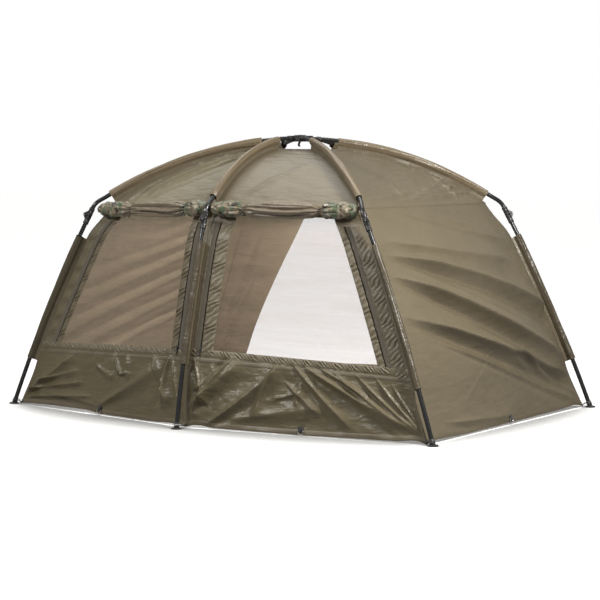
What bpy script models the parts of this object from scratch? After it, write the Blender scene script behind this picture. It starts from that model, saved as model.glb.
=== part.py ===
"""A six-rib bivvy tent: a folding frame of hollow poles that hinge on a crown hub and at
six knuckles, with a cloth canopy held inside the poles by sewn sleeves. Front is -Y, up is +Z,
and the origin is on the ground under the hub. Metres throughout."""

import math

import bmesh
import bpy
from mathutils import Matrix, Vector

# Frame, on the axes of the poles
HUB_HEIGHT = 1.400
HUB_PIN_RADIUS = 0.055
KNEE_HEIGHT = 1.000
CORNER_KNEE_X = 0.855
CORNER_KNEE_Y = 0.690
END_KNEE_Y = 0.820
CORNER_FOOT_X = 1.290
CORNER_FOOT_Y = 0.805
END_FOOT_Y = 1.045
CORNER_RIB_RISE = 0.066
END_RIB_RISE = 0.084
CORNER_BEND_INSET = 0.100
END_BEND_INSET = 0.066
BEND_RISE = 0.105
LEG_BOW = 0.018

# Poles
POLE_RADIUS = 0.011
POLE_WALL = 0.0013
RIB_TUBE_START = 0.032
TONGUE_THICKNESS = 0.008
TONGUE_RADIUS = 0.0095
TONGUE_INSERT = 0.015

# Hub
HUB_RADIUS = 0.067
HUB_THICKNESS = 0.030
HUB_CORE_RADIUS = 0.036
HUB_PIN = 0.0035
HUB_EDGE = 0.003
CAP_RADIUS = 0.034
CAP_HEIGHT = 0.012
CAP_RIM = 0.004
STRAP_WIDTH = 0.020
STRAP_THICKNESS = 0.002

# Knuckles
KNUCKLE_RADIUS = 0.0145
KNUCKLE_LENGTH = 0.045
SOCKET_FLOOR = 0.016
SOCKET_FIT = 0.0005
HINGE_OFFSET = 0.025
HINGE_PIN = 0.003
EAR_RADIUS = 0.0093
EAR_THICKNESS = 0.004
KNEE_TONGUE = 0.006
SIDE_CLEARANCE = 0.0004
PIN_CLEARANCE = 0.0003

# Feet
FOOT_COLLAR = 0.032
COLLAR_RADIUS = 0.0135
SPIGOT_LENGTH = 0.022
FLANGE_RADIUS = 0.025
FLANGE_THICKNESS = 0.007

# Canopy and sleeves
WEB = 0.044
CLOTH = 0.0016
SLEEVE_RADIUS = 0.0165
SLEEVE_CLOTH = 0.0012
SLEEVE_LAYER_GAP = 0.0012
SLEEVE_TOP_RADIUS = 0.200
LEG_SLEEVE_TOP = 0.895
LEG_SLEEVE_BOTTOM = 0.250
RIB_WEB_STANDOFF = 0.0020
LEG_WEB_STANDOFF = 0.0012
HEM_HEIGHT = 0.003
HEM_INSET = 0.065
CROWN_DIP = 0.002
GORE_SAG = 0.012
WALL_FOLD = 0.016
SKIRT_FOLD = 0.007

# Doors, windows and zips
LEFT_WINDOW_CORNER_SIDE = 0.090
LEFT_WINDOW_POLE_SIDE = 0.160
RIGHT_WINDOW_POLE_SIDE = 0.082
RIGHT_WINDOW_CORNER_SIDE = 0.122
WINDOW_TOP = 0.055
SKIRT_HEIGHT = 0.350
REAR_WINDOW_TOP = 0.100
REAR_WINDOW_BOTTOM = 0.115
ROLL_RADIUS = 0.037
ROLL_END_RADIUS = 0.022
ROLL_DROP = 0.035
ROLL_OVERHANG = 0.006
ROLL_TAPER = 0.060
ROLL_POLE_GAP = 0.032
ROLL_PINCH = 0.012
ROLL_PINCH_WIDTH = 0.045
ROLL_FLUTE = 0.003
LEFT_ZIP_INSET = 0.128
RIGHT_ZIP_INSET = 0.016
ZIP_PARK_RISE = 0.012
SLIDER_WIDTH = 0.012
SLIDER_LENGTH = 0.020
SLIDER_HEIGHT = 0.006
TAB_LENGTH = 0.034
TAB_WIDTH = 0.007
TAB_THICKNESS = 0.0025

# Fits and shares
GAP = 0.0003
CORNER_TRIM = 0.0010
SEAM_TRIM = 0.0005
CUT_OVERRUN = 0.010
REAR_TOP_SHARES = (0.280, 0.545)
REAR_BOTTOM_SHARES = (0.075, 0.800)
REAR_BULGE_SHARES = (0.000, 0.044)
TIE_SHARES = (0.30, 0.72)
FOLD_SHARES = ((0.10, 0.55, 1.0), (0.24, 0.80, -0.7), (0.42, 0.60, 0.9), (0.62, 0.45, -0.6))

# Counts
POLE_SIDES = 8
RIB_ARC_STEPS = 7
RIB_BEND_STEPS = 3
LEG_STEPS = 5
SLEEVE_ARC_POINTS = 7
SLEEVE_STEPS = 7
ROUND_SIDES = 16
GORE_COLUMNS = 5
GORE_ROWS = 6
WALL_COLUMNS = 10
WALL_ROWS = 9
ROLL_STEPS = 24
ROLL_SIDES = 16
ROLL_FLUTES = 5
SKIRT_FOLDS = 3

UP = Vector((0, 0, 1))


def new_material(name, colour, roughness, metallic=0.0):
    made = bpy.data.materials.new(name)
    made.use_nodes = True
    shader = made.node_tree.nodes["Principled BSDF"]
    shader.inputs["Base Color"].default_value = (*colour, 1)
    shader.inputs["Roughness"].default_value = roughness
    shader.inputs["Metallic"].default_value = metallic
    return made


def clear_scene():
    for obj in list(bpy.data.objects):
        bpy.data.objects.remove(obj)


def new_collection(name):
    made = bpy.data.collections.new(name)
    bpy.context.scene.collection.children.link(made)
    return made


clear_scene()
TENT = new_collection("bivvy_tent")
CUTTERS = new_collection("cutters")
POLE = new_material("pole", (0.03, 0.03, 0.032), 0.30, 0.6)
NYLON = new_material("moulded_nylon", (0.02, 0.02, 0.02), 0.5)
CANOPY = new_material("canopy_cloth", (0.22, 0.19, 0.13), 0.7)
SLEEVE = new_material("sleeve_cloth", (0.17, 0.14, 0.09), 0.8)
MESH = new_material("insect_mesh", (0.10, 0.08, 0.05), 0.9)
ROLLED = new_material("rolled_door_cloth", (0.30, 0.26, 0.19), 0.5)
WEBBING = new_material("webbing", (0.02, 0.02, 0.02), 0.9)
SLIDER = new_material("slider_metal", (0.10, 0.10, 0.10), 0.4, 0.9)


def add_object(name, data, material=None, collection=TENT, matrix=None):
    made = bpy.data.objects.new(name, data)
    collection.objects.link(made)
    if material:
        data.materials.clear()
        data.materials.append(material)
    if matrix:
        made.matrix_world = matrix
    return made


def mesh_from(build, name):
    """A mesh whose bmesh is filled by the function build."""
    shape = bmesh.new()
    build(shape)
    bmesh.ops.recalc_face_normals(shape, faces=shape.faces)
    data = bpy.data.meshes.new(name)
    shape.to_mesh(data)
    shape.free()
    return data


def evaluated_mesh(obj, name):
    """The object's evaluated mesh as new data; the object itself is removed."""
    bpy.context.view_layer.update()
    graph = bpy.context.evaluated_depsgraph_get()
    data = bpy.data.meshes.new_from_object(obj.evaluated_get(graph))
    data.name = name
    shape = bmesh.new()
    shape.from_mesh(data)
    bmesh.ops.remove_doubles(shape, verts=shape.verts, dist=GAP / 100)
    shape.to_mesh(data)
    shape.free()
    bpy.data.objects.remove(obj)
    return data


def boolean(obj, data, operation, matrix=None):
    """Joins or cuts obj with the mesh data, kept as a hidden cutter."""
    helper = add_object("cutter_" + data.name, data, collection=CUTTERS, matrix=matrix)
    helper.hide_render = True
    helper.display_type = "WIRE"
    step = obj.modifiers.new(operation.lower() + "_" + data.name, "BOOLEAN")
    step.operation = operation
    step.object = helper
    return step


def solidify(obj, thickness):
    step = obj.modifiers.new("thickness", "SOLIDIFY")
    step.thickness = thickness
    step.offset = 0
    return step


def cylinder(name, radius, length, centre, axis, sides=ROUND_SIDES):
    """A closed cylinder of that length about centre, along axis."""
    turn = UP.rotation_difference(Vector(axis)).to_matrix().to_4x4()

    def build(shape):
        bmesh.ops.create_cone(
            shape,
            cap_ends=True,
            segments=sides,
            radius1=radius,
            radius2=radius,
            depth=length,
            matrix=Matrix.Translation(Vector(centre)) @ turn,
        )

    return mesh_from(build, name)


def block(name, low, high):
    """A box between two corners."""
    low, high = Vector(low), Vector(high)

    def build(shape):
        size = high - low
        place = Matrix.Translation((low + high) / 2) @ Matrix.Diagonal((*size, 1))
        bmesh.ops.create_cube(shape, size=1, matrix=place)

    return mesh_from(build, name)


def plate(name, outline, low, high):
    """A flat outline in XY, extruded from z low to z high."""

    def build(shape):
        corners = [shape.verts.new((x, y, low)) for x, y in outline]
        base = shape.faces.new(corners)
        grown = bmesh.ops.extrude_face_region(shape, geom=[base])["geom"]
        tops = [v for v in grown if isinstance(v, bmesh.types.BMVert)]
        bmesh.ops.translate(shape, verts=tops, vec=(0, 0, high - low))

    return mesh_from(build, name)


def arc_points(centre, radius, start, end, steps):
    """Points on an arc in the plane, from one angle to another, in radians."""
    angles = [start + (end - start) * i / steps for i in range(steps + 1)]
    return [(centre[0] + radius * math.cos(a), centre[1] + radius * math.sin(a)) for a in angles]


def sheet(name, rows, closed=False):
    """An open surface through rows of points, laid as a grid."""

    def build(shape):
        made = [[shape.verts.new(p) for p in row] for row in rows]
        for upper, lower in zip(made, made[1:]):
            count = len(upper) if closed else len(upper) - 1
            for i in range(count):
                j = (i + 1) % len(upper)
                shape.faces.new((upper[i], upper[j], lower[j], lower[i]))

    return mesh_from(build, name)


def tube_curve(name, points, radius):
    data = bpy.data.curves.new(name, "CURVE")
    data.dimensions = "3D"
    data.bevel_depth = radius
    data.bevel_resolution = POLE_SIDES // 2 - 2
    data.use_fill_caps = False
    spline = data.splines.new("POLY")
    spline.points.add(len(points) - 1)
    for place, p in zip(spline.points, points):
        place.co = (*p, 1)
    return data


def hollow_tube(name, points):
    """A pole tube along the points: an open curve tube given its wall."""
    obj = add_object(name, tube_curve(name, points, POLE_RADIUS - POLE_WALL / 2), POLE)
    solidify(obj, POLE_WALL)
    return add_object(name, evaluated_mesh(obj, name), POLE)


class Rib:
    """The lines of one rib and its leg, worked out from the driving dimensions."""

    def __init__(self, number, knee, foot, rise, bend_inset):
        self.number = number
        self.knee = Vector((*knee, KNEE_HEIGHT))
        self.foot = Vector((*foot, 0))
        self.out = Vector((*knee, 0)).normalized()
        self.pin = self.out * HUB_PIN_RADIUS + UP * HUB_HEIGHT
        knee_radius = Vector(knee).length
        self.bend = self.out * (knee_radius - bend_inset) + UP * (KNEE_HEIGHT + BEND_RISE)
        chord = self.bend - self.pin
        half_turn = 2 * math.atan(2 * rise / chord.length)
        slope = math.atan2(chord.z, chord.dot(self.out))
        self.arc_radius = chord.length / (2 * math.sin(half_turn))
        self.start_slope = slope + half_turn
        self.end_slope = slope - half_turn
        span = self.foot - self.knee
        self.leg_out = Vector((span.x, span.y, 0)).normalized()
        side = span.normalized().cross(UP).normalized()
        bulge = side.cross(span).normalized()
        if bulge.dot(self.leg_out) < 0:
            bulge = -bulge
        self.leg_control = (self.knee + self.foot) / 2 + bulge * (2 * LEG_BOW)
        self.leg_top = (self.leg_control - self.knee).normalized()

    def heading(self, t):
        return self.start_slope + (self.end_slope - self.start_slope) * t

    def direction(self, angle):
        return self.out * math.cos(angle) + UP * math.sin(angle)

    def arc(self, t):
        """A point of the rib's long arc, from the hub pin (0) to the bend (1)."""
        a, b = self.start_slope, self.heading(t)
        along = self.arc_radius * (math.sin(a) - math.sin(b))
        rise = self.arc_radius * (math.cos(b) - math.cos(a))
        return self.pin + self.out * along + UP * rise

    def inward(self, t):
        """The direction square to the arc, towards the inside of the tent."""
        angle = self.heading(t)
        return self.out * math.sin(angle) - UP * math.cos(angle)

    def share_at_radius(self, radius):
        """Where along the arc the rib is this far from the hub's axis."""
        start = math.sin(self.start_slope)
        wanted = start - (radius - HUB_PIN_RADIUS) / self.arc_radius
        return (self.start_slope - math.asin(wanted)) / (self.start_slope - self.end_slope)

    def lower_bend(self, t):
        """The tighter curve from the arc's end down to the knuckle's socket."""
        last = self.knee - self.leg_top * KNUCKLE_LENGTH
        reach = (last - self.bend).length * 0.4
        first = self.bend + self.direction(self.end_slope) * reach
        second = last - self.leg_top * reach
        s = 1 - t
        return (
            self.bend * s**3
            + first * (3 * s * s * t)
            + second * (3 * s * t * t)
            + last * t**3
        )

    def leg(self, t):
        """A point of the leg's axis, from the knee (0) to the foot (1)."""
        s = 1 - t
        return self.knee * (s * s) + self.leg_control * (2 * s * t) + self.foot * (t * t)

    def leg_direction(self, t):
        first, last = self.leg_control - self.knee, self.foot - self.leg_control
        return (first * (1 - t) + last * t).normalized()

    def leg_share_at_height(self, height):
        low, high = 0.0, 1.0
        for _ in range(40):
            middle = (low + high) / 2
            if self.leg(middle).z > height:
                low = middle
            else:
                high = middle
        return (low + high) / 2

    def knuckle_frame(self):
        """Local X outward across the hinge, Y up the pole, Z along the hinge pin. The pin is
        square to the leg and to the line back to the hub, so that the leg folds over its rib."""
        y = -self.leg_top
        z = (self.pin - self.knee).cross(self.leg_top).normalized()
        x = y.cross(z).normalized()
        if x.dot(self.leg_out) < 0:
            x, z = -x, -z
        turn = Matrix((x, y, z)).transposed().to_4x4()
        return Matrix.Translation(self.knee) @ turn

    def shoulder(self):
        """The canopy's upper corner, on the inside of the rib's bend."""
        return self.arc(1) + self.inward(1) * WEB

    def hem_corner(self):
        return self.foot - self.leg_out * HEM_INSET + UP * HEM_HEIGHT


KX, KY, FX, FY = CORNER_KNEE_X, CORNER_KNEE_Y, CORNER_FOOT_X, CORNER_FOOT_Y
RIBS = [
    Rib(1, (-KX, -KY), (-FX, -FY), CORNER_RIB_RISE, CORNER_BEND_INSET),
    Rib(2, (0, -END_KNEE_Y), (0, -END_FOOT_Y), END_RIB_RISE, END_BEND_INSET),
    Rib(3, (KX, -KY), (FX, -FY), CORNER_RIB_RISE, CORNER_BEND_INSET),
    Rib(4, (KX, KY), (FX, FY), CORNER_RIB_RISE, CORNER_BEND_INSET),
    Rib(5, (0, END_KNEE_Y), (0, END_FOOT_Y), END_RIB_RISE, END_BEND_INSET),
    Rib(6, (-KX, KY), (-FX, FY), CORNER_RIB_RISE, CORNER_BEND_INSET),
]


def joint_empty(name, place):
    made = add_object(name, None, matrix=Matrix.Translation(place))
    made.empty_display_size = POLE_RADIUS
    return made


def carry(parent, *objects):
    """Parents objects to an empty on their joint's axis, keeping their places."""
    bpy.context.view_layer.update()
    for obj in objects:
        obj.parent = parent
        obj.matrix_parent_inverse = parent.matrix_world.inverted()


def make_rib(rib):
    """The rib's tube with the flat tongue that turns on the hub's pin."""
    name = f"rib_{rib.number}"
    start = RIB_TUBE_START / (rib.arc_radius * (rib.start_slope - rib.end_slope))
    shares = [start + (1 - start) * i / RIB_ARC_STEPS for i in range(RIB_ARC_STEPS + 1)]
    points = [rib.arc(t) for t in shares]
    points += [rib.lower_bend((i + 1) / RIB_BEND_STEPS) for i in range(RIB_BEND_STEPS)]
    points.append(rib.knee - rib.leg_top * (SOCKET_FLOOR + GAP))
    obj = hollow_tube(name, points)
    along = rib.direction(rib.heading(start / 2))
    side = along.cross(UP).normalized()
    turn = Matrix((along, side.cross(along), side)).transposed().to_4x4()
    place = Matrix.Translation(rib.pin) @ turn
    half = TONGUE_RADIUS
    end = RIB_TUBE_START + TONGUE_INSERT
    outline = [(end, -half), (end, half)]
    outline += arc_points((0, 0), half, math.pi / 2, 3 * math.pi / 2, ROUND_SIDES // 2)
    tongue = plate(name + "_tongue", outline, -TONGUE_THICKNESS / 2, TONGUE_THICKNESS / 2)
    boolean(obj, tongue, "UNION", place)
    hole_length = TONGUE_THICKNESS + 2 * CUT_OVERRUN
    hole = cylinder(name + "_eye", HUB_PIN + PIN_CLEARANCE, hole_length, (0, 0, 0), UP)
    boolean(obj, hole, "DIFFERENCE", place)
    return obj


def make_leg(rib):
    first = rib.leg_share_at_height(KNEE_HEIGHT + rib.leg_top.z * (SOCKET_FLOOR + GAP))
    last = 1 - FOOT_COLLAR / (rib.foot - rib.knee).length
    shares = [first + (last - first) * i / LEG_STEPS for i in range(LEG_STEPS + 1)]
    return hollow_tube(f"leg_{rib.number}", [rib.leg(t) for t in shares])


def ear_outline():
    """An ear from the knuckle's body round the hinge pin, above the butt face."""
    taper = math.atan2(HINGE_OFFSET + EAR_RADIUS - KNUCKLE_RADIUS, KNUCKLE_LENGTH)
    top = KNUCKLE_LENGTH - EAR_THICKNESS / 2
    pin = (HINGE_OFFSET, 0)
    outline = [(0, GAP / 2), (0, top), (KNUCKLE_RADIUS * 2 / 3, top)]
    outline += arc_points(pin, EAR_RADIUS, taper, -math.pi, ROUND_SIDES // 2)
    outline.append((HINGE_OFFSET - EAR_RADIUS, GAP / 2))
    return outline


def socket_radius():
    """The bore whose flats clear a pole by the socket's fit."""
    return (POLE_RADIUS + SOCKET_FIT) / math.cos(math.pi / ROUND_SIDES)


def knuckle_mesh():
    """The upper half: a socket for the rib, two ears and the hinge pin."""
    middle = (0, (KNUCKLE_LENGTH + GAP / 2) / 2, 0)
    length = KNUCKLE_LENGTH - GAP / 2
    body = cylinder("knuckle_body", KNUCKLE_RADIUS, length, middle, (0, 1, 0))
    obj = add_object("knuckle", body, NYLON)
    inner = KNEE_TONGUE / 2 + SIDE_CLEARANCE
    outer = inner + EAR_THICKNESS
    outline = ear_outline()
    boolean(obj, plate("ear_a", outline, inner, outer), "UNION")
    boolean(obj, plate("ear_b", outline, -outer, -inner), "UNION")
    pin_length = 2 * outer + EAR_THICKNESS / 2
    pin = cylinder("knee_pin", HINGE_PIN, pin_length, (HINGE_OFFSET, 0, 0), UP)
    boolean(obj, pin, "UNION")
    depth = KNUCKLE_LENGTH - SOCKET_FLOOR + CUT_OVERRUN
    place = (0, SOCKET_FLOOR + depth / 2, 0)
    socket = cylinder("rib_socket", socket_radius(), depth, place, (0, 1, 0))
    boolean(obj, socket, "DIFFERENCE")
    return evaluated_mesh(obj, "knuckle")


def leg_knuckle_mesh():
    """The lower half: a socket for the leg and the tongue between the ears."""
    middle = (0, -(KNUCKLE_LENGTH + GAP / 2) / 2, 0)
    length = KNUCKLE_LENGTH - GAP / 2
    body = cylinder("leg_knuckle_body", KNUCKLE_RADIUS, length, middle, (0, 1, 0))
    obj = add_object("leg_knuckle", body, NYLON)
    outline = [(x, -y) for x, y in ear_outline()]
    tongue = plate("knee_tongue", outline, -KNEE_TONGUE / 2, KNEE_TONGUE / 2)
    boolean(obj, tongue, "UNION")
    hole_length = KNEE_TONGUE + 2 * CUT_OVERRUN
    place = (HINGE_OFFSET, 0, 0)
    eye = cylinder("knee_eye", HINGE_PIN + PIN_CLEARANCE, hole_length, place, UP)
    boolean(obj, eye, "DIFFERENCE")
    depth = KNUCKLE_LENGTH - SOCKET_FLOOR + CUT_OVERRUN
    place = (0, -(SOCKET_FLOOR + depth / 2), 0)
    socket = cylinder("leg_socket", socket_radius(), depth, place, (0, 1, 0))
    boolean(obj, socket, "DIFFERENCE")
    return evaluated_mesh(obj, "leg_knuckle")


def make_foot(rib):
    """A moulded plug in the leg's end, on a flat round flange."""
    name = f"foot_{rib.number}"
    length = (rib.foot - rib.knee).length
    end = rib.leg(1 - FOOT_COLLAR / length)
    along = rib.leg_direction(1)
    flange_top = rib.foot + UP * FLANGE_THICKNESS
    flange = cylinder(
        name, FLANGE_RADIUS, FLANGE_THICKNESS, rib.foot + UP * (FLANGE_THICKNESS / 2), UP
    )
    obj = add_object(name, flange, NYLON)
    top = end + along * GAP
    bottom = top + along * ((flange_top - top).z / along.z)
    middle = (top + bottom) / 2
    collar = cylinder(name + "_collar", COLLAR_RADIUS, (bottom - top).length, middle, along)
    boolean(obj, collar, "UNION")
    bore = (POLE_RADIUS - POLE_WALL) * math.cos(math.pi / POLE_SIDES)
    place = top - along * (SPIGOT_LENGTH / 2 - GAP)
    spigot = cylinder(name + "_spigot", bore - 2 * GAP, SPIGOT_LENGTH + 2 * GAP, place, along)
    boolean(obj, spigot, "UNION")
    return add_object(name, evaluated_mesh(obj, name), NYLON)


def sleeve_row(centre, edge, along, standoff):
    """One section of a sleeve: down one side of the web, round the pole and back."""
    towards = edge - centre
    towards -= along * towards.dot(along)
    reach = towards.length - standoff
    towards.normalize()
    side = along.cross(towards)
    slit = math.asin(SLEEVE_LAYER_GAP / SLEEVE_RADIUS)
    row = [centre + towards * reach + side * SLEEVE_LAYER_GAP]
    for i in range(SLEEVE_ARC_POINTS + 1):
        angle = slit + (2 * math.pi - 2 * slit) * i / SLEEVE_ARC_POINTS
        turned = towards * math.cos(angle) + side * math.sin(angle)
        row.append(centre + turned * SLEEVE_RADIUS)
    row.append(centre + towards * reach - side * SLEEVE_LAYER_GAP)
    return row


def make_sleeve(name, rows):
    obj = add_object(name, sheet(name, rows), SLEEVE)
    solidify(obj, SLEEVE_CLOTH)
    return obj


def make_rib_sleeve(rib):
    first = rib.share_at_radius(SLEEVE_TOP_RADIUS)
    last = 1 - SLEEVE_RADIUS / rib.arc_radius
    rows = []
    for i in range(SLEEVE_STEPS + 1):
        t = first + (last - first) * i / SLEEVE_STEPS
        centre, along = rib.arc(t), rib.direction(rib.heading(t))
        edge = centre + rib.inward(t) * WEB
        rows.append(sleeve_row(centre, edge, along, RIB_WEB_STANDOFF))
    return make_sleeve(f"rib_sleeve_{rib.number}", rows)


def make_leg_sleeve(rib):
    first = rib.leg_share_at_height(LEG_SLEEVE_TOP)
    last = rib.leg_share_at_height(LEG_SLEEVE_BOTTOM)
    top, bottom = rib.shoulder(), rib.hem_corner()
    rows = []
    for i in range(SLEEVE_STEPS):
        t = first + (last - first) * i / (SLEEVE_STEPS - 1)
        centre, along = rib.leg(t), rib.leg_direction(t)
        edge = (bottom - top).normalized()
        nearest = top + edge * ((centre - top).dot(along) / edge.dot(along))
        rows.append(sleeve_row(centre, nearest, along, LEG_WEB_STANDOFF))
    return make_sleeve(f"leg_sleeve_{rib.number}", rows)


def make_hub():
    """A round block with a slot and a cross pin for each rib."""
    data = cylinder("hub", HUB_RADIUS, HUB_THICKNESS, UP * HUB_HEIGHT, UP, 2 * ROUND_SIDES)
    obj = add_object("hub", data, NYLON)
    slot_width = TONGUE_THICKNESS + 2 * SIDE_CLEARANCE

    def build_slots(shape):
        reach = HUB_RADIUS + CUT_OVERRUN - HUB_CORE_RADIUS
        for rib in RIBS:
            centre = rib.out * (HUB_CORE_RADIUS + reach / 2) + UP * HUB_HEIGHT
            turn = Matrix((rib.out, UP.cross(rib.out), UP)).transposed().to_4x4()
            size = (reach, slot_width, HUB_THICKNESS + 2 * CUT_OVERRUN, 1)
            place = Matrix.Translation(centre) @ turn @ Matrix.Diagonal(size)
            bmesh.ops.create_cube(shape, size=1, matrix=place)

    def build_pins(shape):
        for rib in RIBS:
            turn = UP.rotation_difference(UP.cross(rib.out)).to_matrix().to_4x4()
            bmesh.ops.create_cone(
                shape,
                cap_ends=True,
                segments=ROUND_SIDES // 2,
                radius1=HUB_PIN,
                radius2=HUB_PIN,
                depth=slot_width + 4 * SIDE_CLEARANCE,
                matrix=Matrix.Translation(rib.pin) @ turn,
            )

    boolean(obj, mesh_from(build_slots, "hub_slots"), "DIFFERENCE")
    boolean(obj, mesh_from(build_pins, "hub_pins"), "UNION")
    return obj


def make_hub_cap():
    """A shallow turned cap on top of the hub's core."""
    seat = HUB_HEIGHT + HUB_THICKNESS / 2 + GAP
    profile = [Vector((0, 0, seat + CAP_HEIGHT))]
    crown = [(CAP_RADIUS * math.sin(a), CAP_RIM + (CAP_HEIGHT - CAP_RIM) * math.cos(a))
             for a in (math.pi / 8, math.pi / 4, 3 * math.pi / 8, math.pi / 2)]
    profile += [Vector((x, 0, seat + z)) for x, z in crown]
    profile += [Vector((CAP_RADIUS, 0, seat)), Vector((0, 0, seat))]

    def build(shape):
        made = [shape.verts.new(p) for p in profile]
        for a, b in zip(made, made[1:]):
            shape.edges.new((a, b))

    obj = add_object("hub_cap", mesh_from(build, "hub_cap"), NYLON)
    turn = obj.modifiers.new("turn", "SCREW")
    turn.steps = turn.render_steps = ROUND_SIDES
    turn.use_merge_vertices = True
    turn.merge_threshold = 0.0001
    return obj


def crown_height():
    return (RIBS[0].arc(0) + RIBS[0].inward(0) * WEB).z - CROWN_DIP


def make_hub_strap():
    """The webbing that hangs the canopy's crown from the hub."""
    top = HUB_HEIGHT - HUB_THICKNESS / 2 - GAP
    rim = RIBS[0].arc(0) + RIBS[0].inward(0) * WEB
    rise = CROWN_DIP * STRAP_WIDTH / 2 / rim.xy.length
    bottom = crown_height() + rise + CLOTH / 2 + GAP
    half, thin = STRAP_WIDTH / 2, STRAP_THICKNESS / 2
    return add_object(
        "hub_strap", block("hub_strap", (-half, -thin, bottom), (half, thin, top)), WEBBING
    )


def roof_row(ribs, share, aside):
    """The canopy's points at one share of the way down these ribs, gore by gore. Its ends
    stand clear of the seam over the middle ribs, on the side that aside points to."""
    row = []
    for a, b in zip(ribs, ribs[1:]):
        start = a.arc(share) + a.inward(share) * WEB
        end = b.arc(share) + b.inward(share) * WEB
        middle_in = (a.inward(share) + b.inward(share)).normalized()
        for j in range(GORE_COLUMNS + 1):
            f = j / GORE_COLUMNS
            sag = GORE_SAG * 4 * f * (1 - f) * math.sin(math.pi * share)
            if j or not row:
                row.append(start.lerp(end, f) + middle_in * sag)
    row[0] = row[0] + aside
    row[-1] = row[-1] + aside
    return row


def make_roof_half(name, ribs, aside):
    """Three gores from the crown to the shoulder seam, sewn into half of the dome."""
    slant = RIBS[0].arc_radius * (RIBS[0].start_slope - RIBS[0].end_slope)
    last = 1 - SEAM_TRIM / slant
    rows = [roof_row(ribs, last * i / GORE_ROWS, aside) for i in range(GORE_ROWS + 1)]

    def build(shape):
        made = [[shape.verts.new(p) for p in row] for row in rows]
        for upper, lower in zip(made, made[1:]):
            for i in range(len(upper) - 1):
                shape.faces.new((upper[i], upper[i + 1], lower[i + 1], lower[i]))
        centre = shape.verts.new(UP * crown_height() + aside)
        for a, b in zip(made[0], made[0][1:]):
            shape.faces.new((a, b, centre))

    obj = add_object(name, mesh_from(build, name), CANOPY)
    solidify(obj, CLOTH)
    return obj


class Wall:
    """The flat or twisted patch between two ribs, from shoulder to hem."""

    def __init__(self, first, second):
        self.top = (first.shoulder(), second.shoulder())
        self.bottom = (first.hem_corner(), second.hem_corner())

    def point(self, u, v):
        return self.top[0].lerp(self.top[1], u).lerp(self.bottom[0].lerp(self.bottom[1], u), v)

    def width(self, v):
        return (self.point(1, v) - self.point(0, v)).length

    def slant(self, u):
        return (self.point(u, 1) - self.point(u, 0)).length

    def normal(self, u, v):
        across = self.point(1, v) - self.point(0, v)
        down = self.point(u, 1) - self.point(u, 0)
        found = across.cross(down).normalized()
        return found if found.dot(self.point(u, v)) > 0 else -found

    def share_at_height(self, u, height):
        return (self.point(u, 0).z - height) / (self.point(u, 0).z - self.point(u, 1).z)

    def frame(self, u, v):
        """Local X across the wall, Y down it, Z out of it, at a point."""
        z = self.normal(u, v)
        y = (self.point(u, 1) - self.point(u, 0)).normalized()
        x = y.cross(z).normalized()
        turn = Matrix((x, y, x.cross(y))).transposed().to_4x4()
        return Matrix.Translation(self.point(u, v)) @ turn


FRONT_LEFT = Wall(RIBS[0], RIBS[1])
FRONT_RIGHT = Wall(RIBS[1], RIBS[2])
RIGHT_SIDE = Wall(RIBS[2], RIBS[3])
REAR_RIGHT = Wall(RIBS[3], RIBS[4])
REAR_LEFT = Wall(RIBS[4], RIBS[5])
LEFT_SIDE = Wall(RIBS[5], RIBS[0])


def folds(u, v, corner):
    """Soft folds that fan out of one bottom corner, dying out at every edge."""
    across = 1 - u if corner else u
    up = 1 - v
    edge = 16 * u * (1 - u) * v * (1 - v)
    angle = math.atan2(up, max(across, GAP)) / (math.pi / 2)
    wave = sum(
        size * math.exp(-(((angle - place) / (0.09 * spread)) ** 2))
        for place, spread, size in FOLD_SHARES
    )
    return WALL_FOLD * wave * min(1, edge * 1.5)


def wall_rows(wall, us, vs, bulge=None):
    """Grid rows over part of a wall, trimmed where it meets its neighbours."""
    rows = []
    for v in vs:
        row = []
        for u in us:
            trim_u = CORNER_TRIM / wall.width(v)
            trim_v = SEAM_TRIM / wall.slant(u)
            at = min(max(u, trim_u), 1 - trim_u)
            down = max(v, trim_v)
            place = wall.point(at, down)
            if bulge:
                place = place + wall.normal(at, down) * bulge(at, down)
            row.append(place)
        rows.append(row)
    return rows


def skirt_folds(u, v, v_high):
    """Slanting creases in the solid skirt under a window, dying out at every edge."""
    down = max(0, (v - v_high) / (1 - v_high))
    edge = 16 * u * (1 - u) * down * (1 - down)
    return SKIRT_FOLD * min(1, edge) * math.sin(2 * math.pi * (SKIRT_FOLDS * u + down))


def spaced(count):
    return [i / count for i in range(count + 1)]


def make_plain_wall(name, wall, corner):
    rows = wall_rows(
        wall, spaced(WALL_COLUMNS), spaced(WALL_ROWS), lambda u, v: folds(u, v, corner)
    )
    obj = add_object(name, sheet(name, rows), CANOPY)
    solidify(obj, CLOTH)
    return obj


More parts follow.
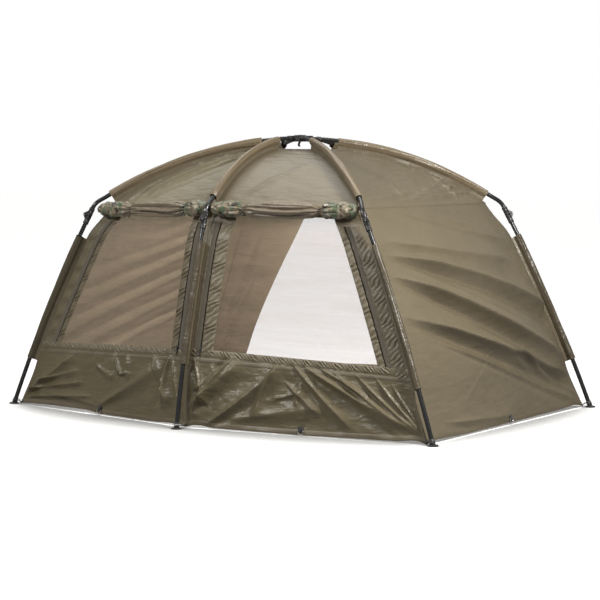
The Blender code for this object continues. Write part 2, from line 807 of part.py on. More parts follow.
def make_window_wall(name, pane_name, wall, sides, v_low, v_high, material):
    """A wall with an opening, and the mesh that fills it. sides(v) gives the opening's shares."""

    def across(v, lane, lanes_side, lanes_window):
        low, high = sides(min(max(v, v_low), v_high))
        if lane <= lanes_side:
            return low * lane / lanes_side
        if lane <= lanes_side + lanes_window:
            return low + (high - low) * (lane - lanes_side) / lanes_window
        return high + (1 - high) * (lane - lanes_side - lanes_window) / lanes_side

    side_lanes, window_lanes, top_rows, window_rows, skirt_rows = 2, 6, 1, 4, 4
    vs = [v_low * i / top_rows for i in range(top_rows)]
    vs += [v_low + (v_high - v_low) * i / window_rows for i in range(window_rows)]
    vs += [v_high + (1 - v_high) * i / skirt_rows for i in range(skirt_rows + 1)]
    lanes = range(2 * side_lanes + window_lanes + 1)
    rows = []
    for v in vs:
        us = [across(v, lane, side_lanes, window_lanes) for lane in lanes]
        rows += wall_rows(wall, us, [v], lambda u, down: skirt_folds(u, down, v_high))

    def build(shape):
        made = [[shape.verts.new(p) for p in row] for row in rows]
        for i, (upper, lower) in enumerate(zip(made, made[1:])):
            for j in range(len(upper) - 1):
                in_rows = top_rows <= i < top_rows + window_rows
                in_lanes = side_lanes <= j < side_lanes + window_lanes
                if not (in_rows and in_lanes):
                    shape.faces.new((upper[j], upper[j + 1], lower[j + 1], lower[j]))

    surround = add_object(name, mesh_from(build, name), CANOPY)
    solidify(surround, CLOTH)
    pane = []
    for i in range(window_rows + 1):
        v = v_low + (v_high - v_low) * i / window_rows
        low, high = sides(v)
        inset_v = GAP / wall.slant(0)
        v = min(max(v, v_low + inset_v), v_high - inset_v)
        inset_u = GAP / wall.width(v)
        low, high = low + inset_u, high - inset_u
        us = [low + (high - low) * j / window_lanes for j in range(window_lanes + 1)]
        pane.append([wall.point(u, v) for u in us])
    net = add_object(pane_name, sheet(pane_name, pane), material)
    solidify(net, CLOTH)
    return surround, net


def make_front_wall(name, pane_name, wall, first_side, second_side):
    def sides(v):
        return first_side / wall.width(v), 1 - second_side / wall.width(v)

    v_low = WINDOW_TOP / wall.slant(0)
    v_high = wall.share_at_height(0, SKIRT_HEIGHT)
    return make_window_wall(name, pane_name, wall, sides, v_low, v_high, MESH)


def make_rear_wall(name, pane_name, wall):
    v_low = REAR_WINDOW_TOP / wall.slant(0)
    v_high = wall.share_at_height(0, REAR_WINDOW_BOTTOM)

    def sides(v):
        f = (v - v_low) / (v_high - v_low)
        edges = zip(REAR_TOP_SHARES, REAR_BOTTOM_SHARES, REAR_BULGE_SHARES)
        return tuple(a + (b - a) * f + bulge * 4 * f * (1 - f) for a, b, bulge in edges)

    return make_window_wall(name, pane_name, wall, sides, v_low, v_high, MESH)


def pinch_at(share, length):
    """How far a place along a roll is drawn in by its ties, from 0 to 1."""
    along = share * length
    return sum(
        math.exp(-(((along - tie * length) / ROLL_PINCH_WIDTH) ** 2)) for tie in TIE_SHARES
    )


def roll_radius(share, angle, length, from_corner):
    """The roll's radius: pinched and fluted at its ties, tapered at the corner end."""
    end = share * length if from_corner else (1 - share) * length
    taper = min(1, end / ROLL_TAPER)
    full = ROLL_END_RADIUS + (ROLL_RADIUS - ROLL_END_RADIUS) * math.sqrt(taper)
    pinch = pinch_at(share, length)
    beside = 4 * pinch * (1 - pinch)
    flute = ROLL_FLUTE * beside * (math.cos(ROLL_FLUTES * angle) - 1)
    return full - ROLL_PINCH * pinch + flute


def make_roll(name, wall, from_corner):
    """The door rolled up and tied under the shoulder seam, lying on the wall."""
    v = ROLL_DROP / wall.slant(0)
    first, last = wall.point(0, v), wall.point(1, v)
    along = (last - first).normalized()
    out = wall.normal(0, v)
    lift = ROLL_RADIUS + CLOTH / 2 + GAP
    first, last = first + out * lift, last + out * lift
    if from_corner:
        first = first - along * ROLL_OVERHANG
        last = last - along * ((ROLL_POLE_GAP + last.x) / along.x)
    else:
        first = first + along * ((ROLL_POLE_GAP - first.x) / along.x)
        last = last + along * ROLL_OVERHANG
    length = (last - first).length
    across = along.cross(out).normalized()
    rows = []
    for i in range(ROLL_STEPS + 1):
        share = i / ROLL_STEPS
        centre = first.lerp(last, share)
        row = []
        for j in range(ROLL_SIDES):
            a = 2 * math.pi * j / ROLL_SIDES
            radius = roll_radius(share, a, length, from_corner)
            row.append(centre + out * (radius * math.cos(a)) + across * (radius * math.sin(a)))
        rows.append(row)

    def build(shape):
        made = [[shape.verts.new(p) for p in row] for row in rows]
        for upper, lower in zip(made, made[1:]):
            for i in range(ROLL_SIDES):
                j = (i + 1) % ROLL_SIDES
                shape.faces.new((upper[i], upper[j], lower[j], lower[i]))
        shape.faces.new(made[0])
        shape.faces.new(made[-1])

    return add_object(name, mesh_from(build, name), ROLLED)


def make_slider(name, wall, zip_inset, near_second):
    """A zip slider with its pull tab, parked at the foot of the zip by the middle pole."""
    v = wall.share_at_height(1 if near_second else 0, SKIRT_HEIGHT + ZIP_PARK_RISE)
    inset = zip_inset / wall.width(v)
    u = 1 - inset if near_second else inset
    place = wall.frame(u, v)
    low = CLOTH / 2 + GAP
    body_low = (-SLIDER_WIDTH / 2, -SLIDER_LENGTH / 2, low)
    body_high = (SLIDER_WIDTH / 2, SLIDER_LENGTH / 2, low + SLIDER_HEIGHT)
    obj = add_object(name, block(name, body_low, body_high), SLIDER, matrix=place)
    tab_low = (-TAB_WIDTH / 2, 0, low + SLIDER_HEIGHT - TAB_THICKNESS / 2)
    tab_high = (TAB_WIDTH / 2, TAB_LENGTH, low + SLIDER_HEIGHT + TAB_THICKNESS / 2)
    boolean(obj, block(name + "_tab", tab_low, tab_high), "UNION", place)
    return obj


def make_frame():
    knuckle, leg_knuckle = knuckle_mesh(), leg_knuckle_mesh()
    for rib in RIBS:
        n = rib.number
        local = rib.knuckle_frame()
        hub_axis = joint_empty(f"rib_{n}_axis", rib.pin)
        knee_axis = joint_empty(f"leg_{n}_axis", local @ Vector((HINGE_OFFSET, 0, 0)))
        upper = add_object(f"knuckle_{n}", knuckle, matrix=local)
        lower = add_object(f"leg_knuckle_{n}", leg_knuckle, matrix=local)
        carry(hub_axis, make_rib(rib), upper, make_rib_sleeve(rib), knee_axis)
        carry(knee_axis, lower, make_leg(rib), make_foot(rib), make_leg_sleeve(rib))


def make_canopy():
    make_roof_half("left_roof", [RIBS[4], RIBS[5], RIBS[0], RIBS[1]], Vector((-SEAM_TRIM, 0, 0)))
    make_roof_half("right_roof", RIBS[1:5], Vector((SEAM_TRIM, 0, 0)))
    left_sides = (LEFT_WINDOW_CORNER_SIDE, LEFT_WINDOW_POLE_SIDE)
    right_sides = (RIGHT_WINDOW_POLE_SIDE, RIGHT_WINDOW_CORNER_SIDE)
    make_front_wall("front_left_surround", "front_left_mesh", FRONT_LEFT, *left_sides)
    make_front_wall("front_right_surround", "front_right_mesh", FRONT_RIGHT, *right_sides)
    make_rear_wall("rear_left_wall", "rear_window_mesh", REAR_LEFT)
    make_plain_wall("rear_right_wall", REAR_RIGHT, True)
    make_plain_wall("right_side_wall", RIGHT_SIDE, True)
    make_plain_wall("left_side_wall", LEFT_SIDE, False)
    make_roll("front_left_rolled_door", FRONT_LEFT, True)
    make_roll("front_right_rolled_door", FRONT_RIGHT, False)
    make_slider("front_left_zip_slider", FRONT_LEFT, LEFT_ZIP_INSET, True)
    make_slider("front_right_zip_slider", FRONT_RIGHT, RIGHT_ZIP_INSET, False)


make_hub()
make_hub_cap()
make_hub_strap()
make_frame()
make_canopy()
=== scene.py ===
"""Looks of the six-rib bivvy tent: cloth, net, zips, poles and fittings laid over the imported
frame. Front is -Y, up is +Z, and everything is in metres."""

import math

import bmesh
import bpy
import numpy as np
from mathutils import Matrix, Vector


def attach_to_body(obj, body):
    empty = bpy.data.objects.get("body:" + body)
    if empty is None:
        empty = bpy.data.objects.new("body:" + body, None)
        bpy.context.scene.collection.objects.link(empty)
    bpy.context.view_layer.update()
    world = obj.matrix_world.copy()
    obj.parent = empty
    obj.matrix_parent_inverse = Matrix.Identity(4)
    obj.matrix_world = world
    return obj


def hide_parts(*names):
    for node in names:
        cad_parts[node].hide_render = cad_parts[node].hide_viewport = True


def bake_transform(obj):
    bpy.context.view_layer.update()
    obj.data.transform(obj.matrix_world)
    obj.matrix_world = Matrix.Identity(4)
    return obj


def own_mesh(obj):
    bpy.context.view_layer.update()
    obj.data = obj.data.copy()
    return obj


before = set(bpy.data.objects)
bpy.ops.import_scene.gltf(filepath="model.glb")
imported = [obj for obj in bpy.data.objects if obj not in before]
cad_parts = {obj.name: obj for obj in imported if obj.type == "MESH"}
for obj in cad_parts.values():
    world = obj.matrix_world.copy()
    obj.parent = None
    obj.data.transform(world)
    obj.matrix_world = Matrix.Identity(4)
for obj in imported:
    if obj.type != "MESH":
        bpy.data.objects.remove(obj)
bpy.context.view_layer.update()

# Sizes, as in the CAD
HUB_HEIGHT, HUB_PIN_RADIUS, KNEE_HEIGHT = 1.400, 0.055, 1.000
CORNER_KNEE, END_KNEE_Y = (0.855, 0.690), 0.820
CORNER_FOOT, END_FOOT_Y = (1.290, 0.805), 1.045
CORNER_RIB_RISE, END_RIB_RISE = 0.066, 0.084
CORNER_BEND_INSET, END_BEND_INSET = 0.100, 0.066
BEND_RISE, LEG_BOW = 0.105, 0.018
POLE_RADIUS, WEB, HEM_HEIGHT, HEM_INSET = 0.011, 0.044, 0.003, 0.065
KNUCKLE_LENGTH, KNUCKLE_RADIUS, HINGE_OFFSET = 0.045, 0.0145, 0.025
HUB_THICKNESS = 0.030
GORE_SAG, CROWN_DIP = 0.012, 0.010
RIB_SLEEVE_TOP, LEG_SLEEVE_TOP, LEG_SLEEVE_BOTTOM = 0.200, 0.895, 0.250
SKIRT_HEIGHT, WINDOW_TOP = 0.350, 0.055
REAR_TOP, REAR_BOTTOM, REAR_BULGE = (0.280, 0.545), (0.075, 0.800), (0.000, 0.044)
REAR_WINDOW_TOP, REAR_WINDOW_BOTTOM = 0.100, 0.115

# Sizes of the looks alone: the rear ribs' sleeves start lower, the end poles' are shorter, the
# corner poles draw the hem out, and a strip of cloth beside each pole bends with it
REAR_SLEEVE_TOP, END_SLEEVE_SHORTER, HEM_DRAWN_OUT = 0.300, 0.060, 0.026
STRIP, LEFT_SIDES, RIGHT_SIDES = 0.100, (0.145, 0.135), (0.130, 0.146)
EDGE_TO_POLE = 0.042
UP = np.array((0.0, 0.0, 1.0))


def unit(v):
    v = np.asarray(v, float)
    return v / np.linalg.norm(v, axis=-1, keepdims=True)


def smooth(x):
    x = np.clip(x, 0, 1)
    return x * x * (3 - 2 * x)


def dot(a, b):
    return np.sum(a * b, axis=-1)


class Rib:
    """The lines of one rib and its leg, by the CAD's own formulas, and the cloth's edge along
    them, for arrays of shares."""

    def __init__(self, number, knee, foot, rise, bend_inset):
        self.number = number
        self.knee = np.array((*knee, KNEE_HEIGHT))
        self.foot = np.array((*foot, 0.0))
        self.out = unit((*knee, 0.0))
        self.side = np.cross(UP, self.out)
        self.pin = self.out * HUB_PIN_RADIUS + UP * HUB_HEIGHT
        radius = math.hypot(*knee)
        self.bend = self.out * (radius - bend_inset) + UP * (KNEE_HEIGHT + BEND_RISE)
        chord = self.bend - self.pin
        length = np.linalg.norm(chord)
        half = 2 * math.atan(2 * rise / length)
        slope = math.atan2(chord[2], chord @ self.out)
        self.radius = length / (2 * math.sin(half))
        self.first, self.last = slope + half, slope - half
        span = self.foot - self.knee
        self.leg_out = unit((span[0], span[1], 0.0))
        side = unit(np.cross(unit(span), UP))
        bulge = unit(np.cross(side, span))
        if bulge @ self.leg_out < 0:
            bulge = -bulge
        self.control = (self.knee + self.foot) / 2 + bulge * (2 * LEG_BOW)
        self.leg_top = unit(self.control - self.knee)
        self.length = self.radius * (self.first - self.last)
        self.wall_shares = np.linspace(0, 1, 161)
        self.pulls = self._pulls(self.wall_shares)

    def _pulls(self, r):
        """How far a leg's sleeve draws the wall's edge out from the line shoulder to hem."""
        line = self.shoulder * (1 - r)[:, None] + self.hem * r[:, None]
        fine = np.linspace(0, 1, 400)
        share = np.interp(-line[:, 2], -self.leg(fine)[:, 2], fine)
        gap = (self.leg(share) - line) * (1, 1, 0)
        left = EDGE_TO_POLE + (HEM_INSET - EDGE_TO_POLE) * smooth((r - 0.72) / 0.28)
        drawn = np.maximum(np.linalg.norm(gap, axis=-1) - left, 0) * smooth(r / 0.17)
        return unit(gap) * drawn[:, None]

    def heading(self, t):
        return self.first + (self.last - self.first) * np.asarray(t, float)

    def along(self, t):
        a = self.heading(t)[..., None]
        return self.out * np.cos(a) + UP * np.sin(a)

    def arc(self, t):
        a, b = self.first, self.heading(t)
        out = self.radius * (math.sin(a) - np.sin(b))
        rise = self.radius * (np.cos(b) - math.cos(a))
        return self.pin + self.out * out[..., None] + UP * rise[..., None]

    def inward(self, t):
        a = self.heading(t)[..., None]
        return self.out * np.sin(a) - UP * np.cos(a)

    def share_at_radius(self, radius):
        wanted = math.sin(self.first) - (radius - HUB_PIN_RADIUS) / self.radius
        return (self.first - math.asin(wanted)) / (self.first - self.last)

    def lower_bend(self, t):
        last = self.knee - self.leg_top * KNUCKLE_LENGTH
        reach = np.linalg.norm(last - self.bend) * 0.4
        first = self.bend + self.along(1.0) * reach
        second = last - self.leg_top * reach
        t = np.asarray(t, float)[..., None]
        s = 1 - t
        return self.bend * s**3 + first * 3 * s * s * t + second * 3 * s * t * t + last * t**3

    def leg(self, t):
        t = np.asarray(t, float)[..., None]
        s = 1 - t
        return self.knee * s * s + self.control * 2 * s * t + self.foot * t * t

    def leg_along(self, t):
        t = np.asarray(t, float)[..., None]
        return unit((self.control - self.knee) * (1 - t) + (self.foot - self.control) * t)

    def leg_share(self, height):
        low, high = 0.0, 1.0
        for _ in range(40):
            middle = (low + high) / 2
            if self.leg(middle)[2] > height:
                low = middle
            else:
                high = middle
        return (low + high) / 2

    def edge(self, r):
        """The canopy's edge by this rib: r -1 at the hub, 0 at the shoulder, 1 at the hem."""
        r = np.asarray(r, float)
        s = np.clip(1 + r, 0, 1)
        roof = self.arc(s) + self.inward(s) * WEB
        w = np.clip(r, 0, 1)[..., None]
        wall = self.shoulder * (1 - w) + self.hem * w
        pull = [np.interp(w[..., 0], self.wall_shares, self.pulls[:, i]) for i in range(3)]
        wall = wall + np.stack(pull, -1)
        if self.number not in (2, 5):
            wall = wall + self.leg_out * (HEM_DRAWN_OUT * smooth((w - 0.80) / 0.20))
        return np.where((r <= 0)[..., None], roof, wall)

    @property
    def shoulder(self):
        return self.arc(1.0) + self.inward(1.0) * WEB

    @property
    def hem(self):
        return self.foot - self.leg_out * HEM_INSET + UP * HEM_HEIGHT

    def knuckle_frame(self):
        """Columns: outward across the hinge, up the pole, along the pin."""
        y = -self.leg_top
        z = unit(np.cross(self.pin - self.knee, self.leg_top))
        x = unit(np.cross(y, z))
        if x @ self.leg_out < 0:
            x, z = -x, -z
        turn = Matrix((x, y, z)).transposed().to_4x4()
        return Matrix.Translation(Vector(self.knee)) @ turn


KX, KY = CORNER_KNEE
FX, FY = CORNER_FOOT
RIBS = {
    1: Rib(1, (-KX, -KY), (-FX, -FY), CORNER_RIB_RISE, CORNER_BEND_INSET),
    2: Rib(2, (0, -END_KNEE_Y), (0, -END_FOOT_Y), END_RIB_RISE, END_BEND_INSET),
    3: Rib(3, (KX, -KY), (FX, -FY), CORNER_RIB_RISE, CORNER_BEND_INSET),
    4: Rib(4, (KX, KY), (FX, FY), CORNER_RIB_RISE, CORNER_BEND_INSET),
    5: Rib(5, (0, END_KNEE_Y), (0, END_FOOT_Y), END_RIB_RISE, END_BEND_INSET),
    6: Rib(6, (-KX, KY), (-FX, FY), CORNER_RIB_RISE, CORNER_BEND_INSET),
}
GORE_PAIRS = {"front_left": (1, 2), "front_right": (2, 3), "right": (3, 4),
              "rear_right": (4, 5), "rear_left": (5, 6), "left": (6, 1)}

# Creases in the cloth: from (u, r), to (u, r), half width, height and bow, all in metres
# but the shares. r is below 0 on the roof and above it on the wall.
CREASES = {
    "right": [
        (0.13, 0.16, 0.86, 0.27, 0.050, 0.010, 0.010),
        (0.14, 0.225, 1.02, 0.53, 0.038, 0.020, -0.030),
        (0.12, 0.325, 0.95, 0.76, 0.040, 0.024, -0.012),
        (0.12, 0.50, 0.96, 0.83, 0.043, 0.021, 0.004),
        (0.36, 0.510, 0.99, 0.945, 0.014, 0.007, 0.004),
        (0.22, 0.615, 0.97, 0.975, 0.013, 0.005, 0.0),
        (0.19, 0.30, 0.74, 0.595, 0.030, 0.006, 0.0),
        (0.51, 0.631, 0.25, 0.868, 0.010, 0.0009, 0.006),
        (0.25, 0.028, 0.85, 0.177, 0.010, 0.003, 0.004),
        (0.14, 0.94, 0.52, 0.966, 0.020, 0.004, 0.0),
        (0.55, 0.06, 0.97, 0.20, 0.030, 0.006, 0.0),
        (0.62, 0.70, 0.97, 0.90, 0.022, -0.008, 0.0),
        (0.30, -0.030, 0.95, -0.095, 0.012, 0.0045, 0.006),
        (0.45, -0.070, 0.98, -0.165, 0.014, 0.0050, 0.004),
        (0.60, -0.120, 1.00, -0.240, 0.012, 0.0040, 0.0),
        (0.38, -0.020, 0.43, -0.240, 0.012, 0.0012, 0.0),
        (0.12, -0.050, 0.50, -0.120, 0.012, 0.0035, 0.0),
        (0.80, -0.020, 0.99, -0.330, 0.012, 0.0040, 0.0),
        (0.05, -0.200, 0.45, -0.340, 0.014, 0.0030, 0.0),
    ],
    "left": [
        (0.10, 0.12, 0.90, 0.34, 0.032, 0.009, 0.015),
        (0.12, 0.20, 0.94, 0.47, 0.032, 0.012, 0.020),
        (0.14, 0.32, 0.95, 0.62, 0.032, 0.013, 0.010),
        (0.12, 0.44, 0.96, 0.76, 0.032, 0.013, 0.006),
        (0.12, 0.56, 0.96, 0.88, 0.032, 0.011, -0.004),
        (0.30, 0.62, 0.97, 0.94, 0.014, 0.006, 0.0),
        (0.20, 0.08, 0.60, 0.18, 0.026, 0.006, 0.0),
    ],
    "rear_right": [
        (0.10, 0.30, 0.90, 0.66, 0.045, 0.014, 0.015),
        (0.12, 0.48, 0.95, 0.84, 0.042, 0.014, 0.0),
        (0.20, 0.15, 0.80, 0.30, 0.035, 0.008, 0.0),
        (0.90, 0.25, 0.30, 0.55, 0.016, 0.005, 0.0),
        (0.15, 0.72, 0.85, 0.93, 0.018, 0.006, 0.0),
    ],
    "rear_left": [
        (0.86, 0.20, 0.97, 0.70, 0.030, 0.008, 0.0),
        (0.84, 0.45, 0.97, 0.92, 0.022, 0.007, 0.0),
        (0.03, 0.95, 0.20, 0.885, 0.014, 0.005, 0.0),
        (0.60, 0.90, 0.97, 0.97, 0.016, 0.005, 0.0),
    ],
    "front_left": [
        (-0.02, 0.975, 0.24, 0.73, 0.020, 0.010, 0.004),
        (0.03, 0.886, 0.29, 0.80, 0.016, 0.007, 0.0),
        (0.42, 0.765, 0.54, 0.82, 0.018, 0.006, 0.0),
        (0.61, 0.707, 0.64, 0.82, 0.018, 0.006, 0.0),
        (0.78, 0.710, 0.90, 0.91, 0.020, 0.010, 0.0),
        (0.52, 0.70, 0.58, 0.80, 0.010, 0.007, 0.0),
        (0.58, 0.80, 0.63, 0.79, 0.010, 0.006, 0.0),
        (0.88, 0.70, 0.86, 0.93, 0.014, 0.008, 0.0),
        (0.00, 0.93, 0.34, 0.86, 0.014, 0.006, 0.0),
        (0.02, 0.97, 0.42, 0.93, 0.012, 0.006, 0.0),
        (0.10, 0.93, 0.48, 0.97, 0.016, 0.004, 0.0),
        (0.50, 0.95, 0.84, 0.74, 0.030, 0.007, 0.0),
        (0.90, 0.72, 0.97, 0.95, 0.012, 0.006, 0.0),
        (0.30, -0.05, 0.72, -0.42, 0.016, 0.003, 0.0),
        (0.12, -0.03, 0.24, -0.74, 0.011, 0.0100, 0.004),
        (0.20, -0.05, 0.36, -0.68, 0.010, 0.0090, 0.0),
        (0.28, -0.08, 0.50, -0.58, 0.009, 0.0065, 0.0),
        (0.34, -0.16, 0.56, -0.62, 0.007, 0.0050, 0.0),
    ],
    "front_right": [
        (-0.01, 0.93, 0.24, 0.71, 0.022, 0.013, 0.006),
        (0.01, 0.77, 0.05, 0.84, 0.018, 0.008, 0.0),
        (0.05, 0.835, 0.14, 0.745, 0.016, 0.008, 0.0),
        (0.11, 0.975, 0.43, 0.71, 0.020, 0.010, 0.010),
        (0.56, 0.705, 0.91, 0.93, 0.022, 0.011, -0.006),
        (0.68, 0.715, 0.96, 0.965, 0.012, 0.006, 0.0),
        (0.78, 0.725, 0.98, 0.97, 0.010, 0.007, 0.0),
        (0.86, 0.730, 0.99, 0.97, 0.008, 0.007, 0.0),
        (0.92, 0.750, 1.0, 0.97, 0.008, 0.006, 0.0),
        (0.03, 0.72, 0.09, 0.90, 0.012, 0.008, 0.0),
        (0.20, 0.70, 0.02, 0.95, 0.014, 0.011, 0.006),
        (0.42, 0.70, 0.30, 0.93, 0.013, 0.007, 0.004),
        (0.50, 0.70, 0.70, 0.95, 0.016, 0.008, 0.0),
        (0.62, 0.70, 0.80, 0.80, 0.010, 0.006, 0.0),
        (0.46, 0.78, 0.58, 0.90, 0.012, 0.005, 0.0),
        (0.52, 0.775, 0.49, 0.87, 0.010, 0.004, 0.0),
        (0.40, 0.85, 0.52, 0.81, 0.010, 0.004, 0.0),
        (0.22, 0.95, 0.62, 0.87, 0.028, 0.005, 0.0),
        (0.05, -0.93, 0.60, -0.74, 0.007, 0.0022, 0.0),
        (0.20, -0.10, 0.70, -0.48, 0.016, 0.003, 0.0),
    ],
}
# How far the hem is drawn up, in metres, at shares of each wall's width
HEM_LIFTS = {
    "front_left": ((0.0, 0.0), (0.06, 0.010), (0.20, 0.015), (0.42, 0.016), (0.50, 0.004),
                   (0.80, 0.002), (0.93, 0.010), (1.0, 0.0)),
    "front_right": ((0.0, 0.0), (0.05, 0.016), (0.12, 0.003), (0.5, 0.0), (0.9, 0.006),
                    (0.96, 0.018), (1.0, 0.0)),
    "right": ((0.0, 0.0), (0.05, 0.014), (0.2, 0.006), (0.5, 0.008), (0.85, 0.012),
              (0.95, 0.020), (1.0, 0.0)),
}
PLAIN_HEM = ((0.0, 0.0), (0.06, 0.014), (0.3, 0.004), (0.7, 0.006), (0.94, 0.014), (1.0, 0.0))


FOLD_DEPTH = 2.1
# How far the side and rear walls belly out between their poles, in metres
BULGES = {"right": 0.080, "left": 0.060, "rear_right": 0.035}
# How far the skirt's top runs down the wall at each pole, as a share of the wall
SKIRT_TILTS = {"front_left": (0.021, -0.012), "front_right": (-0.016, 0.026)}
FINE_GORES = ("right", "front_left", "front_right")

# Crumpled patches: middle (u, r), reach across and down, and height, in metres
CRUMPLES = {
    "front_right": [(0.50, 0.80, 0.16, 0.14, 0.0100), (0.15, 0.86, 0.16, 0.12, 0.0050),
                    (0.86, 0.86, 0.14, 0.14, 0.0050)],
    "front_left": [(0.50, 0.74, 0.22, 0.09, 0.0080), (0.75, 0.86, 0.20, 0.12, 0.0045),
                   (0.15, 0.88, 0.16, 0.10, 0.0045)],
    "right": [(0.66, -0.10, 0.40, 0.10, 0.0080), (0.45, 0.90, 0.50, 0.12, 0.0040),
              (0.90, 0.06, 0.20, 0.10, 0.0035)],
}


def crumpled(x, y):
    """Facets between crossing creases, about 0 to 1 high."""
    high = 0
    for turn, pitch, phase in ((0.35, 0.095, 0.4), (1.25, 0.120, 1.9), (2.05, 0.075, 3.1),
                               (2.75, 0.140, 0.9), (0.85, 0.052, 2.2)):
        along = x * math.cos(turn) + y * math.sin(turn)
        over = y * math.cos(turn) - x * math.sin(turn)
        bent = along + 0.018 * np.sin(over * 31 + phase)
        high = high + np.abs(np.sin(np.pi * bent / pitch + phase)) * pitch / 0.12
    return high / 4


class Gore:
    """The cloth between two neighbouring ribs, roof above r 0 and wall below it."""

    def __init__(self, name, first, second):
        self.name, self.a, self.b = name, RIBS[first], RIBS[second]
        self.slant = float(np.linalg.norm(self.a.hem - self.a.shoulder))
        self.roof_length = float(self.a.length)
        self.creases = [self._crease(c) for c in CREASES[name]]

    def width(self, r):
        return np.linalg.norm(self.b.edge(r) - self.a.edge(r), axis=-1)

    def chart(self, u, r):
        """Flat coordinates in metres: across from the middle, and down."""
        u, r = np.asarray(u, float), np.asarray(r, float)
        length = np.where(r > 0, self.slant, self.roof_length)
        return (u - 0.5) * self.width(r), r * length

    def _crease(self, c):
        u0, r0, u1, r1, wide, high, bow = c
        x0, y0 = self.chart(u0, r0)
        x1, y1 = self.chart(u1, r1)
        return (float(x0), float(y0), float(x1), float(y1), wide, high, bow, r0 > 0)

    def relief(self, u, r):
        """How far the creases lift the cloth off its plain surface."""
        x, y = self.chart(u, r)
        high = np.zeros(np.broadcast(u, r).shape)
        depth = FOLD_DEPTH if self.name in FINE_GORES else FOLD_DEPTH / 3
        for x0, y0, x1, y1, wide, rise, bow, on_wall in self.creases:
            length = math.hypot(x1 - x0, y1 - y0)
            ax, ay = (x1 - x0) / length, (y1 - y0) / length
            t = ((x - x0) * ax + (y - y0) * ay) / length
            off = (x - x0) * -ay + (y - y0) * ax - bow * 4 * t * (1 - t)
            spread = wide * (0.55 + 0.9 * np.clip(t, 0, 1)) if on_wall else wide
            sharp = 1.7 if wide > 0.02 else 1.35
            ends = smooth((t + 0.12) / 0.3) * smooth((1.10 - t) / 0.25)
            if wide > 0.03 and on_wall:
                off = off * math.copysign(1.0, ax)
                side = np.where(off > 0, 0.52 * spread, 1.35 * spread)
                ridge = np.exp(-np.abs(off / side) ** 1.5)
                beside = 0.55 * np.exp(-((off - 1.55 * spread) / (0.75 * spread)) ** 2)
            else:
                ridge = np.exp(-np.abs(off / spread) ** sharp)
                beside = 0.35 * np.exp(-((off - 2.1 * spread) / (1.2 * spread)) ** 2)
            here = (r > 0) if on_wall else (r <= 0)
            high += depth * rise * ends * (ridge - beside) * here
        width = self.width(r)
        near = np.minimum(u * width, (1 - u) * width)
        mask = smooth(near / 0.060) * smooth(np.abs(y) / 0.045)
        mask = mask * np.where(r > 0, smooth((1 - r) * self.slant / 0.020), 1)
        for u0, r0, across, down, rise in CRUMPLES.get(self.name, ()):
            x0, y0 = self.chart(u0, r0)
            place = np.exp(-((x - x0) / across) ** 2 - ((y - y0) / down) ** 2)
            high = high + rise * place * crumpled(x, y)
        rough = 0.0010 * np.sin(19 * x + 7 * y + 1.3) * np.sin(13 * y - 5 * x)
        rough = rough + 0.0007 * np.sin(41 * x - 23 * y) * np.sin(31 * y + 11 * x + 2)
        return (high + rough) * mask

    def hem_lift(self, u):
        table = HEM_LIFTS.get(self.name, PLAIN_HEM)
        xs, ys = zip(*table)
        fine = np.linspace(0, 1, 81)
        rough = np.interp(fine, xs, ys)
        for _ in range(3):
            rough[1:-1] = (rough[:-2] + 2 * rough[1:-1] + rough[2:]) / 4
        return np.interp(u, fine, rough)

    def plain(self, u, r):
        u, r = np.broadcast_arrays(np.asarray(u, float), np.asarray(r, float))
        drawn = smooth((r - 0.80) / 0.20) * self.hem_lift(u) / self.slant
        start, end = SKIRT_TILTS.get(self.name, (0.0, 0.0))
        tilt = (start + (end - start) * u) * smooth(r / 0.6) * smooth((1 - r) / 0.3)
        r = np.where(r > 0, r - drawn + tilt, r)
        point = self.a.edge(r) * (1 - u)[..., None] + self.b.edge(r) * u[..., None]
        s = np.clip(1 + r, 0, 1)
        inward = unit(self.a.inward(s) + self.b.inward(s))
        near_hub = 1 - smooth((np.linalg.norm(point[..., :2], axis=-1) - 0.10) / 0.12)
        point = point - UP * (CROWN_DIP * near_hub * (r <= 0))[..., None]
        sag = GORE_SAG * 4 * u * (1 - u) * np.sin(np.pi * s) * (r <= 0)
        belly = BULGES.get(self.name, 0.0) * 4 * u * (1 - u) * np.sin(np.pi * np.clip(r, 0, 1))
        outward = unit(self.a.leg_out + self.b.leg_out)
        return point + inward * sag[..., None] + outward * belly[..., None]

    def plain_normal(self, u, r):
        """Outward, from the plain surface on the same side of the shoulder."""
        u, r = np.broadcast_arrays(np.asarray(u, float), np.asarray(r, float))
        low = np.where(r > 0, np.maximum(r - 0.01, 1e-6), np.maximum(r - 0.01, -0.999))
        high = np.where(r > 0, np.minimum(r + 0.01, 0.999), np.minimum(r + 0.01, 0.0))
        down = self.plain(u, high) - self.plain(u, low)
        across = self.plain(np.minimum(u + 0.01, 1), r) - self.plain(np.maximum(u - 0.01, 0), r)
        return unit(np.cross(down, across))

    def cloth(self, u, r):
        u, r = np.broadcast_arrays(np.asarray(u, float), np.asarray(r, float))
        return self.plain(u, r) + self.plain_normal(u, r) * self.relief(u, r)[..., None]

    def normal(self, u, r, wall):
        """The creased surface's outward normal, the same from either side of a join."""
        u, r = np.broadcast_arrays(np.asarray(u, float), np.asarray(r, float))
        step = 0.002
        if wall:
            low, high = np.maximum(r - step, 1e-5), np.minimum(np.maximum(r, 1e-5) + step, 1)
        else:
            low, high = np.maximum(r - step, -1), np.minimum(r + step, -1e-5)
            low = np.minimum(low, high - step)
        down = self.cloth(u, high) - self.cloth(u, low)
        at = np.maximum(r, 1e-5) if wall else np.minimum(r, -1e-5)
        across = (self.cloth(np.minimum(u + step, 1), at)
                  - self.cloth(np.maximum(u - step, 0), at))
        return unit(np.cross(down, across))

